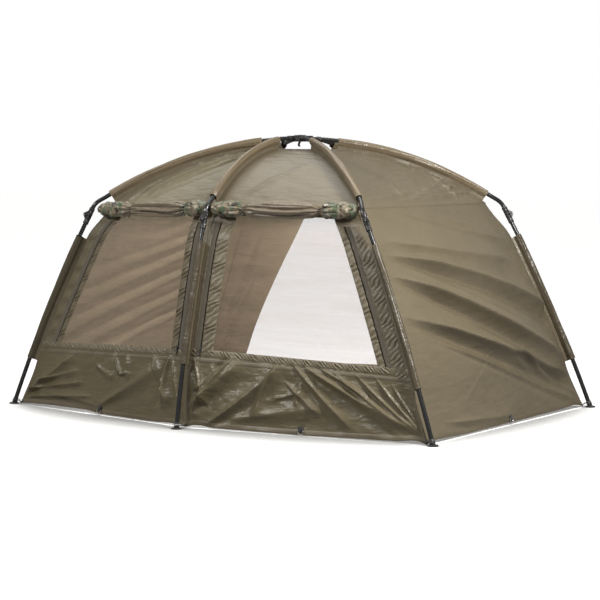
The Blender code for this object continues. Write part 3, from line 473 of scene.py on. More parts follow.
    def share(self, inset, r, from_b=False):
        """The share across at an inset in metres from one rib, at most the middle."""
        part = np.minimum(inset / self.width(r), 0.5)
        return 1 - part if from_b else part

    def r_at_height(self, height):
        return float((self.a.shoulder[2] - height) / (self.a.shoulder[2] - self.a.hem[2]))


GORES = {name: Gore(name, *pair) for name, pair in GORE_PAIRS.items()}

# Materials


def new_finish(name, colour, roughness, metallic=0.0, **sockets):
    made = bpy.data.materials.new(name)
    made.use_nodes = True
    shader = made.node_tree.nodes["Principled BSDF"]
    shader.inputs["Base Color"].default_value = (*colour, 1)
    shader.inputs["Roughness"].default_value = roughness
    shader.inputs["Metallic"].default_value = metallic
    for socket, value in sockets.items():
        shader.inputs[socket.replace("_", " ")].default_value = value
    return made


class Nodes:
    """Short ways to add nodes to one tree."""

    def __init__(self, tree):
        self.tree = tree
        self.shader = tree.nodes.get("Principled BSDF")

    def link(self, start, end):
        self.tree.links.new(start, end)

    def put(self, value, socket):
        """Links a socket, or sets it to a number or a colour."""
        if isinstance(value, bpy.types.NodeSocket):
            self.link(value, socket)
        else:
            socket.default_value = (*value, 1) if isinstance(value, tuple) else value

    def add(self, kind, **values):
        node = self.tree.nodes.new(kind)
        for key, value in values.items():
            if hasattr(node, key):
                setattr(node, key, value)
            else:
                self.put(value, node.inputs[key.replace("_", " ")])
        return node

    def coordinates(self, kind="UV", scale=(1, 1, 1), turn=0.0):
        moved = self.add("ShaderNodeMapping")
        moved.inputs["Scale"].default_value = scale
        moved.inputs["Rotation"].default_value = (0, 0, turn)
        self.link(self.add("ShaderNodeTexCoord").outputs[kind], moved.inputs["Vector"])
        return moved.outputs["Vector"]

    def noise(self, vector, scale, detail=3.0, roughness=0.5, distortion=0.0):
        return self.add("ShaderNodeTexNoise", Vector=vector, Scale=scale, Detail=detail,
                        Roughness=roughness, Distortion=distortion).outputs["Fac"]

    def wave(self, vector, scale, axis="X", distortion=0.0):
        return self.add("ShaderNodeTexWave", Vector=vector, Scale=scale, Distortion=distortion,
                        wave_type="BANDS", bands_direction=axis, wave_profile="SIN").outputs["Fac"]

    def ramp(self, value, stops):
        node = self.add("ShaderNodeValToRGB", Fac=value)
        node.color_ramp.interpolation = "EASE"
        points = node.color_ramp.elements
        while len(points) < len(stops):
            points.new(0.5)
        for point, (place, colour) in zip(points, stops):
            point.position = place
            point.color = (*colour, 1) if isinstance(colour, tuple) else (colour,) * 3 + (1,)
        return node.outputs["Color"]

    def math(self, kind, a, b):
        node = self.add("ShaderNodeMath", operation=kind)
        self.put(a, node.inputs[0])
        self.put(b, node.inputs[1])
        return node.outputs[0]

    def range(self, value, low, high):
        return self.add("ShaderNodeMapRange", Value=value, To_Min=low, To_Max=high).outputs["Result"]

    def mix(self, factor, a, b):
        node = self.add("ShaderNodeMix", data_type="RGBA")
        for value, index in ((factor, 0), (a, 6), (b, 7)):
            self.put(value, node.inputs[index])
        return node.outputs[2]

    def either(self, factor, a, b):
        """One shader or another."""
        node = self.add("ShaderNodeMixShader", Fac=factor)
        self.link(a.outputs[0], node.inputs[1])
        self.link(b.outputs[0], node.inputs[2])
        return node

    def seen_directly(self):
        """1 for what the camera sees itself or through the net, 0 for light that bounces."""
        path = self.add("ShaderNodeLightPath")
        return self.math("MAXIMUM", path.outputs["Is Camera Ray"],
                         path.outputs["Is Transmission Ray"])

    def bump(self, height, strength, distance, after=None):
        node = self.add("ShaderNodeBump", Height=height, Strength=strength, Distance=distance)
        if after is not None:
            self.link(after, node.inputs["Normal"])
        return node.outputs["Normal"]

    def finish(self, colour=None, roughness=None, normal=None, alpha=None):
        for socket, value in (("Base Color", colour), ("Roughness", roughness),
                              ("Normal", normal), ("Alpha", alpha)):
            if value is not None:
                self.link(value, self.shader.inputs[socket])


def scaled(colour, share):
    """The same colour, darker below 1 and lighter above it."""
    return tuple(c * share for c in colour)


CLOUDINESS = 0.14


def woven_cloth(name, colour, roughness, thread=0.0011, crumple=0.5):
    """Coated woven cloth: fine threads, cloudy tone and soft crumples on the UV in metres."""
    made = new_finish(name, colour, roughness)
    n = Nodes(made.node_tree)
    uv = n.coordinates("UV")
    cloudy = n.noise(uv, 3.5, 5.0, 0.6)
    fine = n.noise(uv, 60.0, 4.0, 0.6)
    tone = n.mix(0.35, cloudy, fine)
    colour_out = n.ramp(tone, [(0.30, scaled(colour, 1 - CLOUDINESS)), (0.52, colour),
                               (0.75, scaled(colour, 1 + CLOUDINESS))])
    scale = 0.25 / thread
    threads = n.math("ADD", n.wave(uv, scale, "X"), n.wave(uv, scale, "Y"))
    weave = n.bump(threads, 0.22, 0.0002)
    stretched = n.coordinates("UV", (1.0, 2.6, 1.0), 0.7)
    soft = n.bump(n.noise(stretched, 9.0, 3.0, 0.5, 0.4), crumple * 0.55, 0.020, weave)
    small = n.bump(n.noise(uv, 42.0, 3.0, 0.55, 0.8), crumple * 0.35, 0.0030, soft)
    n.finish(colour_out, n.range(cloudy, roughness - 0.08, roughness + 0.10), small)
    return made


CLOTH_COLOUR = (0.152, 0.124, 0.079)
CANOPY = woven_cloth("canopy_cloth", CLOTH_COLOUR, 0.35)
SKIRT = woven_cloth("skirt_cloth", (0.132, 0.107, 0.061), 0.30, crumple=0.7)
# A lighter copy of the canopy cloth for the front-left roof: painted light on that panel
PAINTED_LIGHT_ROOF = woven_cloth("roof_cloth_painted_light", (0.190, 0.162, 0.102), 0.35)
TAPE = woven_cloth("seam_tape", scaled(CLOTH_COLOUR, 0.92), 0.42, 0.0016, 0.35)
SLEEVE = woven_cloth("sleeve_cloth", (0.084, 0.067, 0.041), 0.32, 0.0014, 0.6)
# The sleeves on the ribs take a lighter copy of the sleeve cloth: painted light from above
RIB_SLEEVE_PAINTED_LIGHT = woven_cloth("rib_sleeve_cloth", (0.186, 0.144, 0.090), 0.32, 0.0014, 0.6)
RUFFLE = woven_cloth("gathered_cloth", (0.155, 0.128, 0.080), 0.38, 0.0012, 0.3)
LINING = woven_cloth("rolled_door_cloth", (0.200, 0.160, 0.112), 0.24, 0.0011, 0.8)


def camouflage(name):
    """A plain woodland camouflage of soft patches, in the cloth's own olive and brown."""
    made = new_finish(name, (0.18, 0.15, 0.1), 0.36, Sheen_Weight=0.12)
    n = Nodes(made.node_tree)
    uv = n.coordinates("UV")
    stretched = n.coordinates("UV", (1.0, 1.7, 1.0), 0.5)
    first = n.noise(stretched, 11.0, 2.5, 0.5, 0.9)
    second = n.noise(stretched, 17.0, 3.0, 0.55, 0.6)
    third = n.noise(uv, 25.0, 2.5, 0.55, 0.5)
    sand, green, brown, pale = ((0.210, 0.172, 0.112), (0.098, 0.122, 0.070),
                                (0.040, 0.028, 0.018), (0.48, 0.43, 0.34))
    base = n.mix(n.ramp(first, [(0.49, 0.0), (0.50, 1.0)]), sand, green)
    base = n.mix(n.ramp(second, [(0.57, 0.0), (0.58, 1.0)]), base, brown)
    base = n.mix(n.ramp(third, [(0.61, 0.0), (0.62, 1.0)]), base, pale)
    threads = n.math("ADD", n.wave(uv, 220.0, "X"), n.wave(uv, 220.0, "Y"))
    weave = n.bump(threads, 0.2, 0.0002)
    n.finish(base, None, n.bump(n.noise(uv, 60.0, 3.0), 0.25, 0.004, weave))
    return made


CAMOUFLAGE = camouflage("camouflage_lining")


def insect_net(name, colour, low, high):
    """Fine net, see-through between its threads, with faint slack streaks."""
    made = new_finish(name, colour, 0.8)
    n = Nodes(made.node_tree)
    uv = n.coordinates("UV")
    threads = n.math("MAXIMUM", n.wave(uv, 400.0, "X"), n.wave(uv, 400.0, "Y"))
    streaks = n.noise(n.coordinates("UV", (0.35, 4.5, 1.0), 0.55), 4.5, 3.5, 0.55, 0.5)
    held = n.range(threads, low, high)
    alpha = n.math("MULTIPLY", held, n.range(streaks, 0.62, 1.40))
    tone = n.ramp(streaks, [(0.35, scaled(colour, 0.85)), (0.65, scaled(colour, 1.3))])
    n.finish(tone, None, n.bump(threads, 0.3, 0.0002), alpha)
    return made


NET = insect_net("insect_mesh", (0.210, 0.136, 0.106), 0.20, 0.38)
CLEAR_NET = insect_net("rear_window_mesh", (0.40, 0.34, 0.30), 0.02, 0.07)


def pole_finish():
    """Glossy black tube with faint drawn lines and handling marks."""
    made = new_finish("pole", (0.014, 0.014, 0.014), 0.22, Specular_IOR_Level=0.85)
    n = Nodes(made.node_tree)
    drawn = n.noise(n.coordinates("UV", (60.0, 0.8, 1.0)), 8.0, 4.0, 0.6)
    marks = n.noise(n.coordinates("Object"), 70.0, 5.0, 0.65)
    colour = n.ramp(marks, [(0.35, (0.011, 0.011, 0.011)), (0.62, (0.015, 0.015, 0.015)),
                            (0.80, (0.022, 0.021, 0.020))])
    n.finish(colour, n.range(drawn, 0.20, 0.26))
    return made


def moulded_finish(name, colour, roughness=0.42):
    """Moulded nylon with a fine grain."""
    made = new_finish(name, colour, roughness, Specular_IOR_Level=0.5)
    n = Nodes(made.node_tree)
    place = n.coordinates("Object")
    grain = n.noise(place, 900.0, 3.0, 0.6)
    worn = n.noise(place, 45.0, 4.0, 0.6)
    tone = n.ramp(worn, [(0.35, scaled(colour, 0.8)), (0.70, scaled(colour, 1.6))])
    n.finish(tone, n.range(worn, roughness - 0.08, roughness + 0.1), n.bump(grain, 0.2, 0.0003))
    return made


def metal_finish(name, colour, roughness):
    """Bare metal with fine scratches."""
    made = new_finish(name, colour, roughness, 1.0)
    n = Nodes(made.node_tree)
    place = n.coordinates("Object")
    scratches = n.noise(place, 400.0, 4.0, 0.6)
    tone = n.ramp(scratches, [(0.3, scaled(colour, 0.75)), (0.7, scaled(colour, 1.1))])
    n.finish(tone, n.range(scratches, roughness - 0.08, roughness + 0.14),
             n.bump(scratches, 0.15, 0.0002))
    return made


def webbing_finish(name, colour, rib=0.0016):
    """Woven webbing or cord, ribbed across its length on the UV in metres."""
    made = new_finish(name, colour, 0.75, Sheen_Weight=0.25)
    n = Nodes(made.node_tree)
    uv = n.coordinates("UV")
    ribs = n.wave(uv, 0.25 / rib, "Y", 0.3)
    cross = n.wave(uv, 0.5 / rib, "X")
    both = n.math("ADD", ribs, cross)
    tone = n.ramp(n.noise(uv, 250.0, 4.0), [(0.3, scaled(colour, 0.7)), (0.7, scaled(colour, 1.5))])
    n.finish(tone, None, n.bump(both, 0.5, 0.0005))
    return made


def zip_finish():
    """A coil zip's ribs along the UV in metres: olive on the ribs and darker in the hollows between
    them, which is painted shade.
    """
    made = new_finish("zip_tape", (0.10, 0.085, 0.06), 0.6, Sheen_Weight=0.2)
    n = Nodes(made.node_tree)
    uv = n.coordinates("UV")
    ribs = n.wave(uv, 95.0, "Y")
    # Darker where the ribs dip: painted shade between them
    tone = n.ramp(ribs, [(0.2, (0.045, 0.037, 0.027)), (0.75, (0.160, 0.133, 0.094))])
    n.finish(tone, None, n.bump(ribs, 0.7, 0.0012))
    return made


POLE = pole_finish()
NYLON = moulded_finish("moulded_nylon", (0.022, 0.021, 0.021))
RIVET = metal_finish("rivet_steel", (0.40, 0.39, 0.38), 0.26)
RING = metal_finish("ring_steel", (0.66, 0.65, 0.63), 0.26)
DARK_METAL = metal_finish("slider_metal", (0.10, 0.10, 0.10), 0.35)
WEBBING = webbing_finish("webbing", (0.022, 0.021, 0.020))
BUNGEE = webbing_finish("shock_cord", (0.62, 0.60, 0.56), 0.0008)
ZIP = zip_finish()
# Near-black cloth for painted shadow: the band in each zip's gap and the hollow of each rolled
# door's end
SHADOW_GAP = woven_cloth("zip_painted_shadow", (0.022, 0.018, 0.014), 0.9)
SHADOW_GAP.node_tree.nodes["Principled BSDF"].inputs["Specular IOR Level"].default_value = 0.1

# Making pieces

SCENE = bpy.context.scene
TENT = bpy.data.collections.new("tent_looks")
SCENE.collection.children.link(TENT)


def new_object(name, mesh, materials):
    made = bpy.data.objects.new(name, mesh)
    TENT.objects.link(made)
    for material in materials if isinstance(materials, (list, tuple)) else [materials]:
        mesh.materials.append(material)
    return made


def attach(obj, body, slot, *nodes):
    """Rides on a body and hides the nodes that are named, which it stands for; the slot it is given
    is not used.
    """
    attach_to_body(obj, body)
    if nodes:
        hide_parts(*nodes)
    return obj


def shade_smooth(obj, shaded=True):
    obj.data.polygons.foreach_set("use_smooth", [shaded] * len(obj.data.polygons))


def from_bmesh(name, shape, materials, shaded=True):
    mesh = bpy.data.meshes.new(name)
    shape.to_mesh(mesh)
    shape.free()
    made = new_object(name, mesh, materials)
    shade_smooth(made, shaded)
    return made


def grid_piece(name, parts, materials):
    """One mesh of grids. A part is (columns, rows, place, slot); place takes arrays of shares
    across and up and returns points, normals or None, and UVs in metres."""
    shape = bmesh.new()
    for columns, rows, _, _ in parts:
        bmesh.ops.create_grid(shape, x_segments=columns, y_segments=rows, size=0.5)
    mesh = bpy.data.meshes.new(name)
    shape.to_mesh(mesh)
    shape.free()
    flat = np.empty(len(mesh.vertices) * 3)
    mesh.vertices.foreach_get("co", flat)
    flat = flat.reshape(-1, 3)
    points, normals, uvs = np.empty_like(flat), np.empty_like(flat), np.empty((len(flat), 2))
    start, faces = 0, 0
    slots = np.zeros(len(mesh.polygons), int)
    for columns, rows, place, slot in parts:
        count = (columns + 1) * (rows + 1)
        here = slice(start, start + count)
        across = (flat[here, 0] + 0.5).reshape(rows + 1, columns + 1)
        up = (flat[here, 1] + 0.5).reshape(rows + 1, columns + 1)
        got, turned, uv = place(across, up)
        if turned is None:
            turned = grid_normals(got)
        points[here], normals[here] = got.reshape(-1, 3), turned.reshape(-1, 3)
        uvs[here] = np.stack(np.broadcast_arrays(*uv), -1).reshape(-1, 2)
        slots[faces:faces + columns * rows] = slot
        start, faces = start + count, faces + columns * rows
    mesh.vertices.foreach_set("co", points.ravel())
    layer = mesh.uv_layers.new(name="UVMap")
    corners = np.empty(len(mesh.loops), int)
    mesh.loops.foreach_get("vertex_index", corners)
    layer.data.foreach_set("uv", uvs[corners].ravel())
    mesh.polygons.foreach_set("material_index", slots)
    mesh.polygons.foreach_set("use_smooth", np.ones(len(mesh.polygons), bool))
    mesh.update()
    mesh.normals_split_custom_set_from_vertices([tuple(v) for v in normals])
    return new_object(name, mesh, materials)


def grid_normals(points):
    down, across = np.gradient(points, axis=0), np.gradient(points, axis=1)
    found = np.cross(across, down)
    size = np.linalg.norm(found, axis=-1, keepdims=True)
    return np.where(size > 1e-14, found / np.maximum(size, 1e-14), UP)


def cloth_part(gore, left, right, r_top, r_bottom, columns, rows, slot=0, lift=0.0):
    """A part of the canopy between two lines; left and right give shares across at r."""
    wall = r_bottom > 0

    def place(across, up):
        r = r_bottom + (r_top - r_bottom) * up
        u = left(r) + (right(r) - left(r)) * across
        points, normals = gore.cloth(u, r), gore.normal(u, r, wall)
        if lift:
            points = points + normals * lift
        x, y = gore.chart(u, r)
        return points, normals, (x, y)

    return columns, rows, place, slot


# The room that a cut sheet has round its piece, and the least share of it that is used
CUT_ROOM, CUT_SHARE = 1.02, 0.31


def declare_cloth(obj):
    """Works out a sheet's cut size, a rectangle that holds its area and its longest run, but keeps
    it nowhere.
    """
    area = sum(face.area for face in obj.data.polygons)
    points = np.empty(len(obj.data.vertices) * 3)
    obj.data.vertices.foreach_get("co", points)
    points = points.reshape(-1, 3)
    spread = points - points.mean(0)
    axes = np.linalg.svd(spread.T @ spread)[0]
    reach = np.sort(np.ptp(spread @ axes, axis=0))[::-1]
    length = float(reach[0]) * CUT_ROOM
    width = max(float(reach[1]) * CUT_ROOM, area / length * 1.002)
    if area / (length * width) < CUT_SHARE:
        width = area / length / CUT_SHARE


# Where the cloth would start and end to bend at the knee, as shares of roof and wall
BLEND_SHARES = (-0.06, 0.13)


def rest_on_pole(obj, rib):
    """Bakes the piece's placement into its mesh; the edge points at the blend shares are worked out
    but not used, so nothing bends.
    """
    tuple(rib.edge(BLEND_SHARES[0]))
    tuple(rib.edge(BLEND_SHARES[1]))
    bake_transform(obj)


def gather_on(obj, rib, inset, roof, towards):
    """Rides on a rib or leg, with its own copy of the mesh; the axis, anchor and joint for drawing
    it in beside the pole are worked out but not used.
    """
    if roof:
        axis = unit(rib.side)
        anchor = rib.edge(-0.5) + axis * (1 if towards @ axis > 0 else -1) * inset
        body, joint = f"rib_{rib.number}_body", f"rib_{rib.number}_fold"
    else:
        down = unit(rib.hem - rib.shoulder)
        axis = unit(towards - down * (towards @ down))
        anchor = rib.edge(0.5) + axis * inset
        body, joint = f"leg_{rib.number}_body", f"leg_{rib.number}_fold"
    if axis @ towards < 0:
        axis = -axis
    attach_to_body(obj, body)
    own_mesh(obj)


# Canopy

STRIP_WIDTHS = {
    ("front_left", 1): LEFT_SIDES[0], ("front_left", 2): LEFT_SIDES[1],
    ("front_right", 2): RIGHT_SIDES[0], ("front_right", 3): RIGHT_SIDES[1],
}


def strip_width(gore, rib):
    return STRIP_WIDTHS.get((gore.name, rib.number), STRIP)


def strip_line(gore, rib, roof):
    """The inner edge of a pole's strip as a function of r."""
    wide = STRIP if roof else strip_width(gore, rib)
    from_b = rib is gore.b

    def line(r):
        if roof:
            return gore.share(wide, r, from_b)
        return gore.share(wide + (STRIP - wide) * (1 - smooth(r / 0.045)), r, from_b)

    return line


def constant(value):
    return lambda r: np.full(np.shape(r), value)


CLOTHS = {}


def steps_for(gore, length):
    """How many grid steps a length takes: fine where narrow creases run, coarser elsewhere."""
    return max(int(round(length / (0.0055 if gore.name in FINE_GORES else 0.011))), 6)


def wall_strips(gore, left, right):
    """A strip's wall part, with the skirt's cloth below the front walls' windows."""
    foot = gore.r_at_height(SKIRT_HEIGHT) if gore.name.startswith("front") else 1.0
    ends = [(1e-5, foot, 0), (foot, 1.0, 1)] if foot < 1 else [(1e-5, 1.0, 0)]
    return [cloth_part(gore, left, right, top, bottom, steps_for(gore, 0.13),
                       steps_for(gore, (bottom - top) * gore.slant), slot)
            for top, bottom, slot in ends]


def make_strips():
    for number, rib in RIBS.items():
        before = next(g for g in GORES.values() if g.b is rib)
        after = next(g for g in GORES.values() if g.a is rib)
        parts = [
            cloth_part(before, strip_line(before, rib, True), constant(1.0), -1, 0, 10, 46),
            *wall_strips(before, strip_line(before, rib, False), constant(1.0)),
            cloth_part(after, constant(0.0), strip_line(after, rib, True), -1, 0, 10, 46),
            *wall_strips(after, constant(0.0), strip_line(after, rib, False)),
        ]
        obj = grid_piece(f"canopy_strip_{number}", parts, [CANOPY, SKIRT])
        rest_on_pole(obj, rib)
        CLOTHS[f"strip_{number}"] = obj


def first_r_wider(gore):
    """The r on the roof where half the gore becomes wider than the strip."""
    shares = np.linspace(-1, 0, 400)
    wide = gore.width(shares) / 2 > STRIP
    return float(shares[np.argmax(wide)])


def make_roof_middles():
    for gore in GORES.values():
        for rib in (gore.a, gore.b):
            line = strip_line(gore, rib, True)
            top = first_r_wider(gore)
            first = line if rib is gore.a else constant(0.5)
            second = constant(0.5) if rib is gore.a else line
            part = cloth_part(gore, first, second, top, 0, 34, 44)
            # The front-left roof takes the lighter copy of the cloth, which is painted light
            cloth = PAINTED_LIGHT_ROOF if gore.name == "front_left" else CANOPY
            obj = grid_piece(f"roof_{gore.name}_by_pole_{rib.number}", [part], cloth)
            towards = (gore.b.out - gore.a.out) * (1 if rib is gore.a else -1)
            gather_on(obj, rib, STRIP, True, towards)
            CLOTHS[f"roof_{gore.name}_{rib.number}"] = obj


def half_parts(gore, rib, top, bottom, edge):
    """The half of a wall between its strip, or another edge, and its middle line."""
    line = edge or strip_line(gore, rib, False)
    first = line if rib is gore.a else constant(0.5)
    second = constant(0.5) if rib is gore.a else line
    columns = steps_for(gore, float(gore.width(bottom)) / 2 - STRIP)
    rows = steps_for(gore, (bottom - top) * gore.slant)
    return cloth_part(gore, first, second, top, bottom, columns, rows)


def wall_direction(gore, rib):
    across = gore.b.edge(0.5) - gore.a.edge(0.5)
    return unit(across if rib is gore.a else -across)


def wall_axis(gore, rib):
    """Into the wall from a leg, square to the leg's edge: the way that the wall is gathered."""
    towards, down = wall_direction(gore, rib), unit(rib.hem - rib.shoulder)
    return unit(towards - down * (towards @ down))


def make_half(gore, rib, name, top, bottom, material=None, edge=None):
    part = half_parts(gore, rib, top, bottom, edge)
    obj = grid_piece(name, [part], material or CANOPY)
    gather_on(obj, rib, strip_width(gore, rib), False, wall_direction(gore, rib))
    CLOTHS[name] = obj
    return obj


def make_plain_walls():
    for name in ("right", "left", "rear_right"):
        gore = GORES[name]
        for rib in (gore.a, gore.b):
            make_half(gore, rib, f"{name}_wall_by_pole_{rib.number}", 1e-5, 1.0)


def make_front_walls():
    for name in ("front_left", "front_right"):
        gore = GORES[name]
        v_low = WINDOW_TOP / gore.slant
        v_high = gore.r_at_height(SKIRT_HEIGHT)
        for rib in (gore.a, gore.b):
            n = rib.number
            make_half(gore, rib, f"{name}_header_by_pole_{n}", 1e-5, v_low)
            make_half(gore, rib, f"{name}_mesh_by_pole_{n}", v_low, v_high, NET)
            make_half(gore, rib, f"{name}_skirt_by_pole_{n}", v_high, 1.0, SKIRT)


def rear_sides(gore):
    v_low = REAR_WINDOW_TOP / gore.slant
    v_high = gore.r_at_height(REAR_WINDOW_BOTTOM)

    def side(index):
        def line(r):
            f = np.clip((r - v_low) / (v_high - v_low), 0, 1)
            first, last, bulge = REAR_TOP[index], REAR_BOTTOM[index], REAR_BULGE[index]
            return first + (last - first) * f + bulge * 4 * f * (1 - f)
        return line

    return v_low, v_high, side(0), side(1)


def make_rear_left_wall():
    """The wall with the window: each half carries its share of the cloth and the window."""
    gore = GORES["rear_left"]
    v_low, v_high, near, far = rear_sides(gore)
    strip_a, strip_b = strip_line(gore, gore.a, False), strip_line(gore, gore.b, False)
    middle = constant(0.5)

    def later(first, second):
        return lambda r: np.maximum(first(r), second(r))

    def sooner(first, second):
        return lambda r: np.minimum(first(r), second(r))

    halves = (
        (gore.a, [cloth_part(gore, strip_a, middle, 1e-5, v_low, 30, 10),
                  cloth_part(gore, strip_a, later(near, strip_a), v_low, v_high, 12, 60),
                  cloth_part(gore, strip_a, middle, v_high, 1.0, 30, 16)],
         cloth_part(gore, later(near, strip_a), middle, v_low, v_high, 20, 60)),
        (gore.b, [cloth_part(gore, middle, strip_b, 1e-5, v_low, 30, 10),
                  cloth_part(gore, later(far, middle), strip_b, v_low, v_high, 24, 60),
                  cloth_part(gore, middle, strip_b, v_high, 1.0, 30, 16)],
         cloth_part(gore, middle, sooner(far, strip_b), v_low, v_high, 20, 60)),
    )
    for rib, cloth, pane in halves:
        n = rib.number
        for name, parts, material, slot in (
            (f"rear_left_wall_by_pole_{n}", cloth, CANOPY, "canopy_cloth"),
            (f"rear_window_by_pole_{n}", [pane], CLEAR_NET, "insect_mesh"),
        ):
            obj = grid_piece(name, parts, material)
            gather_on(obj, rib, STRIP, False, wall_direction(gore, rib))
            CLOTHS[name] = obj


def make_crown():
    """The small round of cloth under the hub, inside the first ring of the gores."""
    shape = bmesh.new()
    bmesh.ops.create_circle(shape, cap_ends=True, cap_tris=True, segments=36, radius=1.0)
    ring = []
    for gore in GORES.values():
        ring += [gore.cloth(u, -1.0) for u in np.arange(6) / 6]
    edge = [v for v in shape.verts if v.co.length > 0.5]
    edge.sort(key=lambda v: math.atan2(v.co.y, v.co.x) % (2 * math.pi))
    ring.sort(key=lambda p: math.atan2(p[1], p[0]) % (2 * math.pi))
    for vert, point in zip(edge, ring):
        vert.co = point
    for vert in shape.verts:
        if vert not in edge:
            vert.co = (0, 0, float(np.mean([p[2] for p in ring])) - 0.002)
    bmesh.ops.recalc_face_normals(shape, faces=shape.faces)
    layer = shape.loops.layers.uv.new("UVMap")
    for face in shape.faces:
        for corner in face.loops:
            corner[layer].uv = corner.vert.co.xy
    obj = from_bmesh("crown_cloth", shape, CANOPY)
    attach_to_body(obj, "hub_and_canopy")
    CLOTHS["crown"] = obj


make_strips()
make_roof_middles()
make_plain_walls()
make_front_walls()
make_rear_left_wall()
make_crown()

# Bands, tapes and zips


def pleats(x, y, pitch, high, lean, seed):
    """Uneven gathers: pitch along y, leaning with x, some fuller than others."""
    drift = 0.9 * np.sin(2 * np.pi * y / (pitch * 5.3) + seed)
    drift = drift + 0.8 * np.sin(2 * np.pi * y / (pitch * 2.3) + 2 * seed)
    phase = 2 * np.pi * (y + lean * x) / pitch + drift
    full = 0.55 + 0.45 * np.sin(2 * np.pi * y / (pitch * 3.7) + 3 * seed)
    small = 0.35 * np.sin(2.3 * phase + 5 * x / pitch + seed)
    return high * full * (np.sin(phase) + small)


def raised(gore, u, r, lift, across, wave, over, along, on_wall=True):
    """Points off the cloth: a low arch across a band, with its gathers."""
    arch = np.sqrt(np.clip(1 - (2 * across - 1) ** 2, 0, 1))
    high = lift * (0.25 + 0.75 * arch)
    if wave:
        high = high + wave(over, along) * np.clip(arch * 1.3, 0, 1)
    return gore.cloth(u, r) + gore.normal(u, r, on_wall) * high[..., None]


def band(name, gore, rib, inset, wide, r_top, r_bottom, material, lift, columns=8, rows=200,
         wave=None, scallop=0.0):
    """A narrow band that runs beside a pole, laid on the cloth."""
    from_b = rib is gore.b
    length = gore.slant * (r_bottom - r_top)

    def place(across, up):
        r = r_bottom + (r_top - r_bottom) * up
        y = length * (1 - up)
        offset = inset + wide * (1 - across if from_b else across)
        offset = offset + scallop * np.sin(2 * np.pi * y / 0.055) * np.sin(23 * y + inset * 90)
        u = gore.share(offset, r, from_b)
        points = raised(gore, u, r, lift, across, wave, across * wide, y)
        return points, None, (offset, y)

    obj = grid_piece(name, [(columns, rows, place, 0)], material)
    rest_on_pole(obj, rib)
    return obj


def cross_band(name, gore, rib, middle_r, wide, material, lift, to_middle, rows=8, columns=120,
               wave=None, roof=False, slope=0.0):
    """A band that runs across a wall: the part on the strip, or from there to the middle."""
    line = strip_line(gore, rib, roof)
    start = constant(0.0) if rib is gore.a else constant(1.0)
    inner, outer = (constant(0.5), line) if to_middle else (line, start)
    first, second = (outer, inner) if rib is gore.a else (inner, outer)
    long = gore.roof_length if roof else gore.slant

    def place(across, up):
        r_mid = np.full(across.shape, middle_r)
        u = first(r_mid) + (second(r_mid) - first(r_mid)) * across
        r = middle_r + slope * (u - 0.5) + wide / long * (0.5 - up)
        r = np.clip(r, -1, -1e-4) if roof else np.clip(r, 1e-4, 1)
        x, y = gore.chart(u, r)
        points = raised(gore, u, r, lift, up, wave, up * wide, x, not roof)
        return points, None, (y, x)

    obj = grid_piece(name, [(columns, rows, place, 0)], material)
    if to_middle:
        towards = (gore.b.out - gore.a.out) if roof else gore.b.edge(0.5) - gore.a.edge(0.5)
        towards = unit(towards if rib is gore.a else -towards)
        gather_on(obj, rib, STRIP if roof else strip_width(gore, rib), roof, towards)
    else:
        rest_on_pole(obj, rib)
    return obj


TRIMS = {name: [] for name in CLOTHS}


def trim(cloth, obj):
    TRIMS[cloth].append(obj)


# Where the front zips start on the wall, how wide a zip is and how wide the band of painted
# shadow in its open gap is, and how far below the skirt's top edge its seam runs
ZIP_TOP, ZIP_WIDTH, ZIP_SHADOW_WIDTH, SKIRT_SEAM = 0.085, 0.024, 0.008, 0.030


def front_trims():
    """A zip, a band of painted shadow in its open gap, and the gathered edges beside each front
    pole, and the skirt's.
    """
    top, foot = ZIP_TOP, GORES["front_left"].r_at_height(SKIRT_HEIGHT)
    seam = foot + SKIRT_SEAM
    for name, number, inset, seed in (
        ("front_left", 1, 0.078, 0.4), ("front_left", 2, 0.060, 1.1),
        ("front_right", 2, 0.030, 2.3), ("front_right", 3, 0.079, 3.1),
    ):
        gore, rib = GORES[name], RIBS[number]
        wide = strip_width(gore, rib)
        owner = f"strip_{number}"
        tag = f"{name}_{number}"
        trim(owner, band(f"zip_tape_{tag}", gore, rib, inset, ZIP_WIDTH, top, foot + 0.004, ZIP,
                         0.0022))
        # A near-black band in the open gap beside the zip: painted shadow
        trim(owner, band(f"zip_gap_{tag}", gore, rib, inset + ZIP_WIDTH, ZIP_SHADOW_WIDTH, top, foot,
                         SHADOW_GAP, 0.0006, 3, scallop=0.0022))
        start = inset + ZIP_WIDTH + ZIP_SHADOW_WIDTH
        trim(owner, band(f"ruffle_{tag}", gore, rib, start, wide - start, top, foot,
                         RUFFLE, 0.0035, 18, 420,
                         lambda x, y, seed=seed: pleats(x, y, 0.028, 0.0040, 0.7, seed)))
        if inset > 0.03:
            trim(owner, band(f"gathered_{tag}", gore, rib, 0.012, inset - 0.016, top, seam,
                             RUFFLE, 0.0030, 18, 420,
                             lambda x, y, seed=seed: pleats(x, y, 0.024, 0.0026, 0.9, seed)))
        for to_middle in (False, True):
            target = f"{name}_skirt_by_pole_{number}" if to_middle else owner
            part = "middle" if to_middle else "strip"
            trim(target, cross_band(f"skirt_tape_{part}_{tag}", gore, rib, seam + 0.006, 0.020,
                                    TAPE, 0.0022, to_middle))
            trim(target, cross_band(f"skirt_gather_{part}_{tag}", gore, rib, foot + 0.004, 0.034,
                                    RUFFLE, 0.0030, to_middle, 8, 260,
                                    lambda x, y, seed=seed: pleats(x, y, 0.021, 0.0034, 0.9, seed)))


front_trims()


